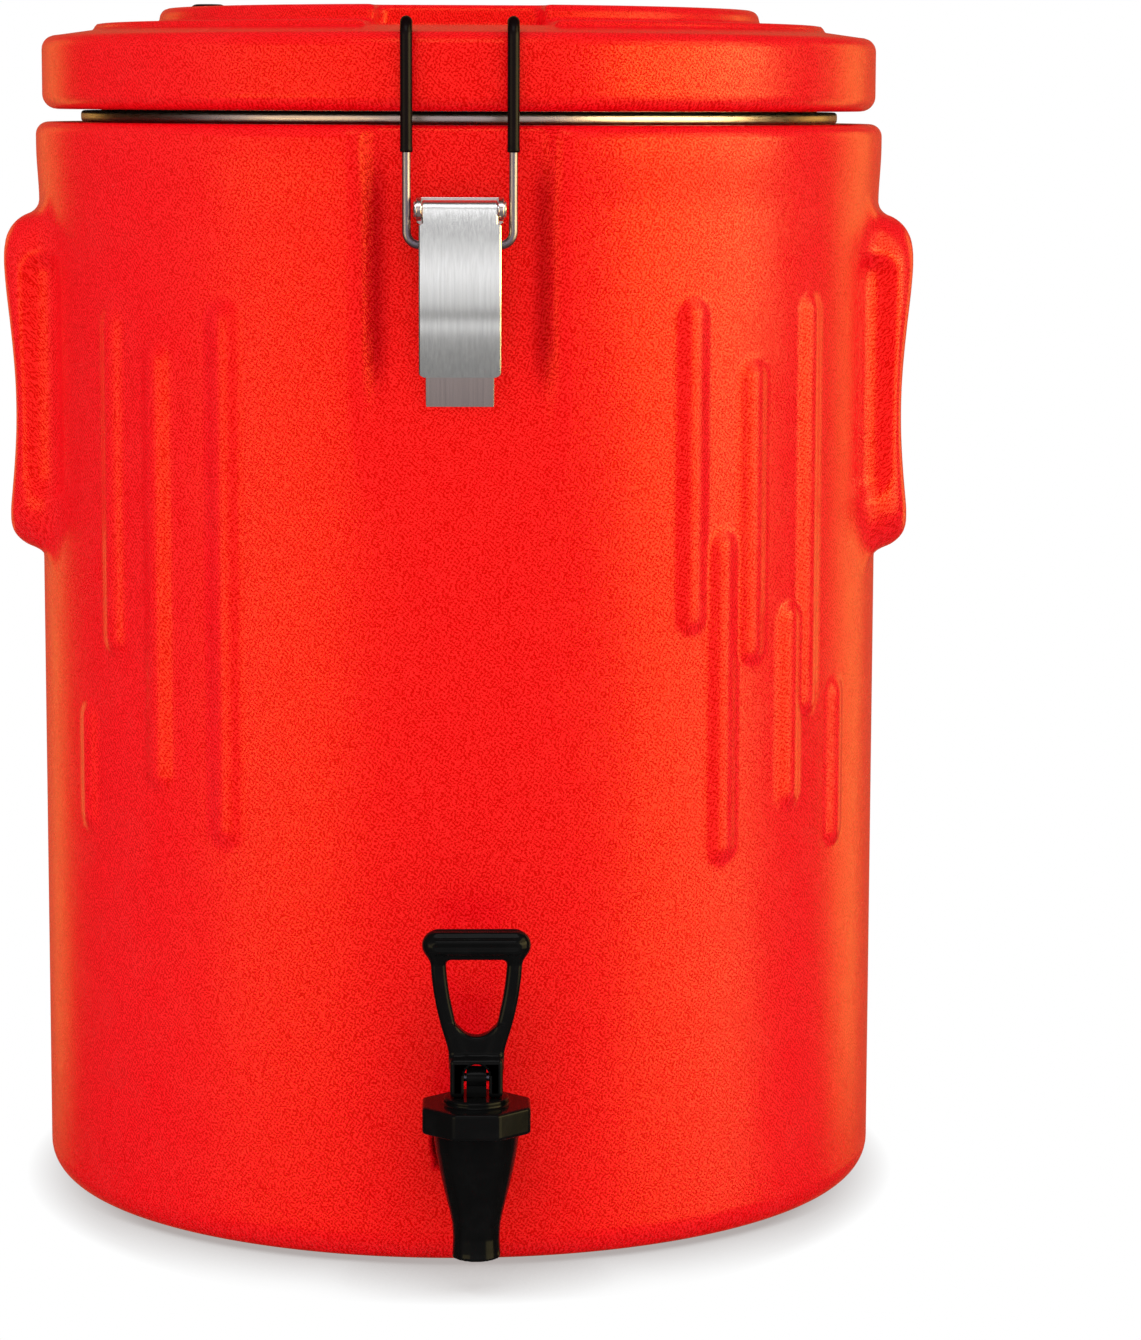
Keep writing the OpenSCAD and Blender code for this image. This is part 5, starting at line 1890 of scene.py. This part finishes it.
    def arm_field(self, x: Array, y: Array, z: Array) -> Array:
        """Measures the distance to the loop's two arms.

        Args:
            x: Points' x from the tap's axis.
            y: Points' y from the tap's axis.
            z: Points' z.

        Returns:
            The distance.
        """
        (ax, az), (bx, bz), (cx, cz) = self.arm_points
        d = 2 * (ax * (bz - cz) + bx * (cz - az) + cx * (az - bz))
        a2, b2, c2 = ax * ax + az * az, bx * bx + bz * bz, cx * cx + cz * cz
        ox = (a2 * (bz - cz) + b2 * (cz - az) + c2 * (az - bz)) / d
        oz = (a2 * (cx - bx) + b2 * (ax - cx) + c2 * (bx - ax)) / d
        bend = math.hypot(ax - ox, az - oz)
        around = np.abs(np.hypot(np.abs(x) - ox, z - oz) - bend)
        half, deep = self.arm
        bar = Blend.corner(around - half, np.abs(y) - deep, self.rounds.arm)
        below, above = self.arm_past
        return np.maximum(bar, Blend.between(cz - below, z, az + above))

    def handle_field(self, x: Array, y: Array, z: Array) -> Array:
        """Measures the distance to the handle: ridged bar, loop and fork.

        Args:
            x: Points' x.
            y: Points' y.
            z: Points' z.

        Returns:
            The distance.
        """
        rounds = self.rounds
        dx, dy = x - self.axis[0], y - self.axis[1]
        half, radius, bar_z = self.bar
        count, ridge, fade = self.ridges
        over = np.maximum(np.abs(dx) - half + radius, 0)
        wave = np.cos(count * np.arctan2(z - bar_z, dy)) * np.clip(1 - over / fade, 0, 1)
        bar = np.sqrt(over**2 + dy**2 + (z - bar_z) ** 2) - (radius - ridge + ridge * wave)
        solid = Blend.join(bar, self.arm_field(dx, dy, z), rounds.bar)
        wide, deep, low, high = self.fork
        side, front = np.abs(dx) - wide, np.abs(dy)
        crotch_r, crotch_z = self.crotch
        neck = Blend.corner(side, front - self.arm[1], rounds.arm)
        neck = np.maximum(neck, Blend.between(high - self.neck_drop, z, crotch_z - crotch_r / 2))
        fork = Blend.corner(side, front - deep, rounds.fork)
        fork = Blend.meet(fork, Blend.between(low, z, high), rounds.arm)
        solid = Blend.join(Blend.join(solid, neck, rounds.arm), fork, rounds.arm)
        solid = Blend.cut(solid, np.hypot(dx, z - crotch_z) - crotch_r, rounds.crotch)
        slot_w, slot_z = self.slot
        gap = np.hypot(dx, np.maximum(z - slot_z + slot_w, 0)) - slot_w
        return Blend.cut(solid, gap, rounds.slot)

    def build(self, kit: Kit) -> None:
        """Builds and dresses the tap's pieces.

        Args:
            kit: Finishes and CAD nodes.
        """
        black = kit.finishes[Slot.BLACK_PLASTIC]
        moulded = (
            ("tap_valve_body", "tap_body", Body.BARREL, self.body_field, self.body_grid),
            ("tap_octagon_bonnet", "tap_bonnet", Body.BARREL, self.bonnet_field, self.bonnet_grid),
            ("tap_pull_handle", "tap_handle", Body.TAP_LEVER, self.handle_field, self.handle_grid),
        )
        for name, node, body, distance, grid in moulded:
            across, along, up = (Spacing.lines(*stops) for stops in grid)
            axes = (self.axis[0] + across, self.axis[1] + along, up)
            piece = FieldNet(axes, distance).build().to_object(name, black)
            kit.stand_for(piece, body, Slot.BLACK_PLASTIC, node)
        kit.dress(Slot.BLACK_PLASTIC, "tap_stem", "tap_nut")
        kit.dress(Slot.BAIL_WIRE, "tap_handle_pin")
        self.build_coil(kit)
        kit.dress(Slot.DARK_RUBBER, "tap_outer_washer")
        kit.dress(Slot.SILICONE, "tap_seat_cup", "tap_inner_washer")

    def build_coil(self, kit: Kit) -> None:
        """Winds the spring on the tap's axis.

        Args:
            kit: Finishes and CAD nodes.
        """
        radius, wire, curls, low, high = self.coil
        steps, sides = self.coil_steps
        turn = np.linspace(0, 2 * math.pi * curls, steps * curls + 1)
        across, along = self.axis[0] + radius * np.cos(turn), self.axis[1] + radius * np.sin(turn)
        path = np.stack((across, along, np.linspace(low, high, len(turn))), 1)
        paths = [(path, np.full(len(path), wire))]
        coil = kit.tubes.draw("tap_coil_spring", paths, kit.finishes[Slot.BAIL_WIRE], sides)
        kit.stand_for(coil, Body.BARREL, Slot.BAIL_WIRE, "tap_spring")
        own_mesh(coil)


# Studio

AMBER: Colour = (1.0, 0.8, 0.3)
EMBER: Colour = (1.0, 0.6, 0.12)


@dataclass(frozen=True)
class SoftBox:
    """A rectangular studio light that faces the object.

    Attributes:
        name: The light's name.
        azimuth: Its direction from the front towards the right, in degrees.
        distance: Its distance from the object's axis, in metres.
        height: Height of its middle, in metres.
        size: Its width and height, in metres.
        radiance: Its brightness; a white wall under a sky of 1 has 1.
        colour: Its colour.
        glow: What it is for.
        aim: Height on the object's axis that it faces, in metres.
    """

    name: str
    azimuth: float
    distance: float
    height: float
    size: Pair
    radiance: float
    colour: Colour = WHITE
    glow: Glow = Glow.ALL
    aim: float = 0.25

    def build(self) -> None:
        """Adds the light to the scene."""
        data = bpy.data.lights.new(self.name, "AREA")
        data.shape = "RECTANGLE"
        data.size, data.size_y = self.size
        data.energy = self.radiance * math.pi * self.size[0] * self.size[1]
        data.color = self.colour
        made = bpy.data.objects.new(self.name, data)
        turn = math.radians(self.azimuth)
        place = Vector((self.distance * math.sin(turn), -self.distance * math.cos(turn), self.height))
        way = Vector((0, 0, self.aim)) - place
        made.matrix_world = Matrix.Translation(place) @ way.to_track_quat("-Z", "Y").to_matrix().to_4x4()
        made.visible_camera = False
        made.visible_diffuse = self.glow is not Glow.MIRRORED
        made.visible_glossy = self.glow is not Glow.DIFFUSE
        bpy.context.scene.collection.objects.link(made)


@dataclass
class Studio:
    """A pale floor, a white surround, soft lights and the camera.

    Attributes:
        eye: The camera's place, in metres.
        pitch: How far the camera looks down, in degrees.
        pan: How far it looks to the right, in degrees.
        roll: The camera's roll, in degrees.
        lens: Focal length, in millimetres.
        sensor: Width of the camera's sensor, in millimetres.
        sky: Brightness of the surround as a light.
        mirrored: Brightness of the surround where it is mirrored, at places from the front, 0,
            to the back, 1.
        warmth: Colour of that brightness.
        ahead: Brightness added in front, at places from straight down, 0, to straight up, 1.
        window: Places between which that brightness fades out, from the front, 0, to the back, 1.
        contact: How far the painted contact shadow reaches, in metres.
        open_ends: Shares of open sky between which that shadow goes over into white.
        shadow_ends: Distances to the side between which the shadow goes over into white, in metres.
        oval: What a distance to the front counts there, as a share of one to the side.
        shadow: The painted contact shadow's colour.
        tones: The floor's darker and lighter tone as it lights the object.
        tone_scale: Patches of those tones per metre.
        floor_half: Half of the floor's width.
        boxes: The soft boxes.
    """

    eye: tuple[float, float, float] = (0.0, -1.693, 0.4367)
    pitch: float = 7.83
    pan: float = 1.538
    roll: float = 0.2
    lens: float = 111.6
    sensor: float = 36.0
    sky: float = 0.90
    mirrored: tuple[Pair, ...] = ((0.3, 0.0), (0.5, 0.04), (0.87, 0.04), (0.97, 0.36))
    warmth: Colour = (1.0, 0.45, 0.2)
    ahead: tuple[Pair, ...] = (
        (0.25, 0.24), (0.31, 0.27), (0.39, 0.55), (0.47, 0.72),
        (0.55, 1.25), (0.60, 0.9), (0.68, 0.4), (0.8, 0.35),
    )
    window: Pair = (0.3, 0.48)
    contact: float = 0.06
    open_ends: Pair = (0.30, 0.90)
    shadow_ends: Pair = (0.150, 0.179)
    oval: float = 0.81
    shadow: Colour = (0.44, 0.40, 0.39)
    tones: Pair = (0.92, 0.94)
    tone_scale: float = 3.0
    floor_half: float = 6000.0
    boxes: tuple[SoftBox, ...] = (
        SoftBox("left_box", -46, 2.2, -0.02, (1.4, 0.6), 4.5, AMBER, Glow.MIRRORED),
        SoftBox("left_top_box", -41, 2.2, 0.47, (1.5, 0.3), 1.8, AMBER, Glow.MIRRORED),
        SoftBox("right_box", 64, 2.2, -0.15, (1.6, 0.8), 5.2, AMBER, Glow.MIRRORED),
        SoftBox("right_top_box", 64, 2.2, 0.60, (2.1, 0.7), 11.0, AMBER, Glow.MIRRORED),
        SoftBox("shoulder_box", 68, 2.2, 1.6, (1.8, 1.0), 5.0, AMBER, Glow.MIRRORED),
        SoftBox("rim_right", 131, 2.2, 0.3, (0.8, 1.6), 1.6, EMBER, Glow.MIRRORED),
        SoftBox("rim_left", -142, 2.2, 0.3, (0.6, 1.6), 0.8, EMBER, Glow.MIRRORED),
        SoftBox("front_top", -4, 1.7, 1.9, (1.5, 1.0), 3.0),
        SoftBox("right_fill", 75, 2.0, 1.0, (1.2, 1.2), 1.1, glow=Glow.DIFFUSE),
        SoftBox("left_fill", -80, 2.0, 1.0, (1.2, 1.2), 0.7, glow=Glow.DIFFUSE),
    )

    def camera(self) -> None:
        """Places the camera."""
        data = bpy.data.cameras.new("camera")
        data.lens = self.lens
        data.sensor_width = self.sensor
        made = bpy.data.objects.new("camera", data)
        placed = Matrix.Translation(self.eye)
        for degrees, axis in ((-self.pan, "Z"), (90 - self.pitch, "X"), (self.roll, "Z")):
            placed = placed @ Matrix.Rotation(math.radians(degrees), 4, axis)
        made.matrix_world = placed
        bpy.context.scene.collection.objects.link(made)
        bpy.context.scene.camera = made

    @staticmethod
    def shades(graph: Graph, place: Socket, stops: Sequence[Pair], colour: Colour) -> Socket:
        """Adds a colour ramp.

        Args:
            graph: The node tree.
            place: The place on the ramp, from 0 to 1.
            stops: Places and levels.
            colour: The colour at a level of 1.

        Returns:
            The ramp's colour.
        """
        made = graph.node("ValToRGB", {0: place})
        while len(made.color_ramp.elements) < len(stops):
            made.color_ramp.elements.new(0.5)
        for element, (spot, level) in zip(made.color_ramp.elements, stops):
            element.position = spot
            element.color = (*(level * c for c in colour), 1)
        return made.outputs["Color"]

    def world(self) -> None:
        """Makes a surround that is white to the camera, dimmer as a light and shaded where it is mirrored."""
        graph = Graph(bpy.data.worlds.new("surround"))
        axes = graph.node("SeparateXYZ", {0: graph.node("TexCoord").outputs["Generated"]}).outputs
        back, up = (graph.ramp(axes[name], -1.0, 1.0) for name in "YZ")
        around = self.shades(graph, back, self.mirrored, self.warmth)
        ahead = self.shades(graph, up, self.ahead, WHITE)
        front = graph.ramp(back, *self.window, (1.0, 0.0))
        shown = graph.vector("MULTIPLY_ADD", ahead, front, around)
        path = graph.node("LightPath").outputs
        seen = graph.mix(path["Is Glossy Ray"], (self.sky, self.sky, self.sky), shown)
        seen = graph.mix(path["Is Camera Ray"], seen, WHITE)
        graph.node("OutputWorld", {0: graph.node("Background", {"Color": seen}).outputs[0]})
        bpy.context.scene.world = graph.owner

    def floor(self) -> None:
        """Lays a pale floor that shows the camera a painted contact shadow and goes over into the white
        surround.
        """
        graph = Graph(bpy.data.materials.new("pale_floor"))
        open_sky = graph.node("AmbientOcclusion", {"Distance": self.contact}, samples=16).outputs["AO"]
        away = graph.vector("LENGTH", graph.coords((1, self.oval, 1)))
        lit = graph.ramp(open_sky, *self.open_ends)
        lit = graph.math("MAXIMUM", lit, graph.ramp(away, *self.shadow_ends))
        shadow = graph.mix(lit, self.shadow, WHITE)
        dark, light = ((level, level, level) for level in self.tones)
        tone = graph.mix(graph.patches(self.tone_scale, 2.0), dark, light)
        paint = graph.node("BsdfDiffuse", {"Color": tone}).outputs[0]
        # To the camera the floor is an emission: white, with the contact shadow painted from ambient
        # occlusion; other rays meet the plain diffuse floor.
        shown = graph.node("Emission", {"Color": shadow}).outputs[0]
        seen = graph.node("LightPath").outputs["Is Camera Ray"]
        graph.node("OutputMaterial", {0: graph.node("MixShader", {0: seen, 1: paint, 2: shown}).outputs[0]})
        half = self.floor_half
        corners = np.array([(-half, -half, 0), (half, -half, 0), (half, half, 0), (-half, half, 0)])
        made = MeshData(corners, [(0, 1, 2, 3)]).to_object("studio_floor", graph.owner)
        made.visible_glossy = False
        made.visible_shadow = False

    def build(self) -> None:
        """Sets up the whole studio."""
        bpy.context.scene.view_settings.view_transform = "Standard"
        self.camera()
        self.world()
        self.floor()
        for box in self.boxes:
            box.build()


def main() -> None:
    """Builds the cooler's looks round its CAD frame."""
    logging.basicConfig(level=logging.INFO, format="%(name)s: %(message)s")
    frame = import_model()
    kit = Kit(Finishes(), TubeNodes(), frame["nodes"])
    Barrel().build(kit)
    Lid().build(kit)
    for side in Side:
        ToggleLatch(side).build(kit)
    Tap().build(kit)
    Studio().build()


if __name__ == "__main__":
    main()
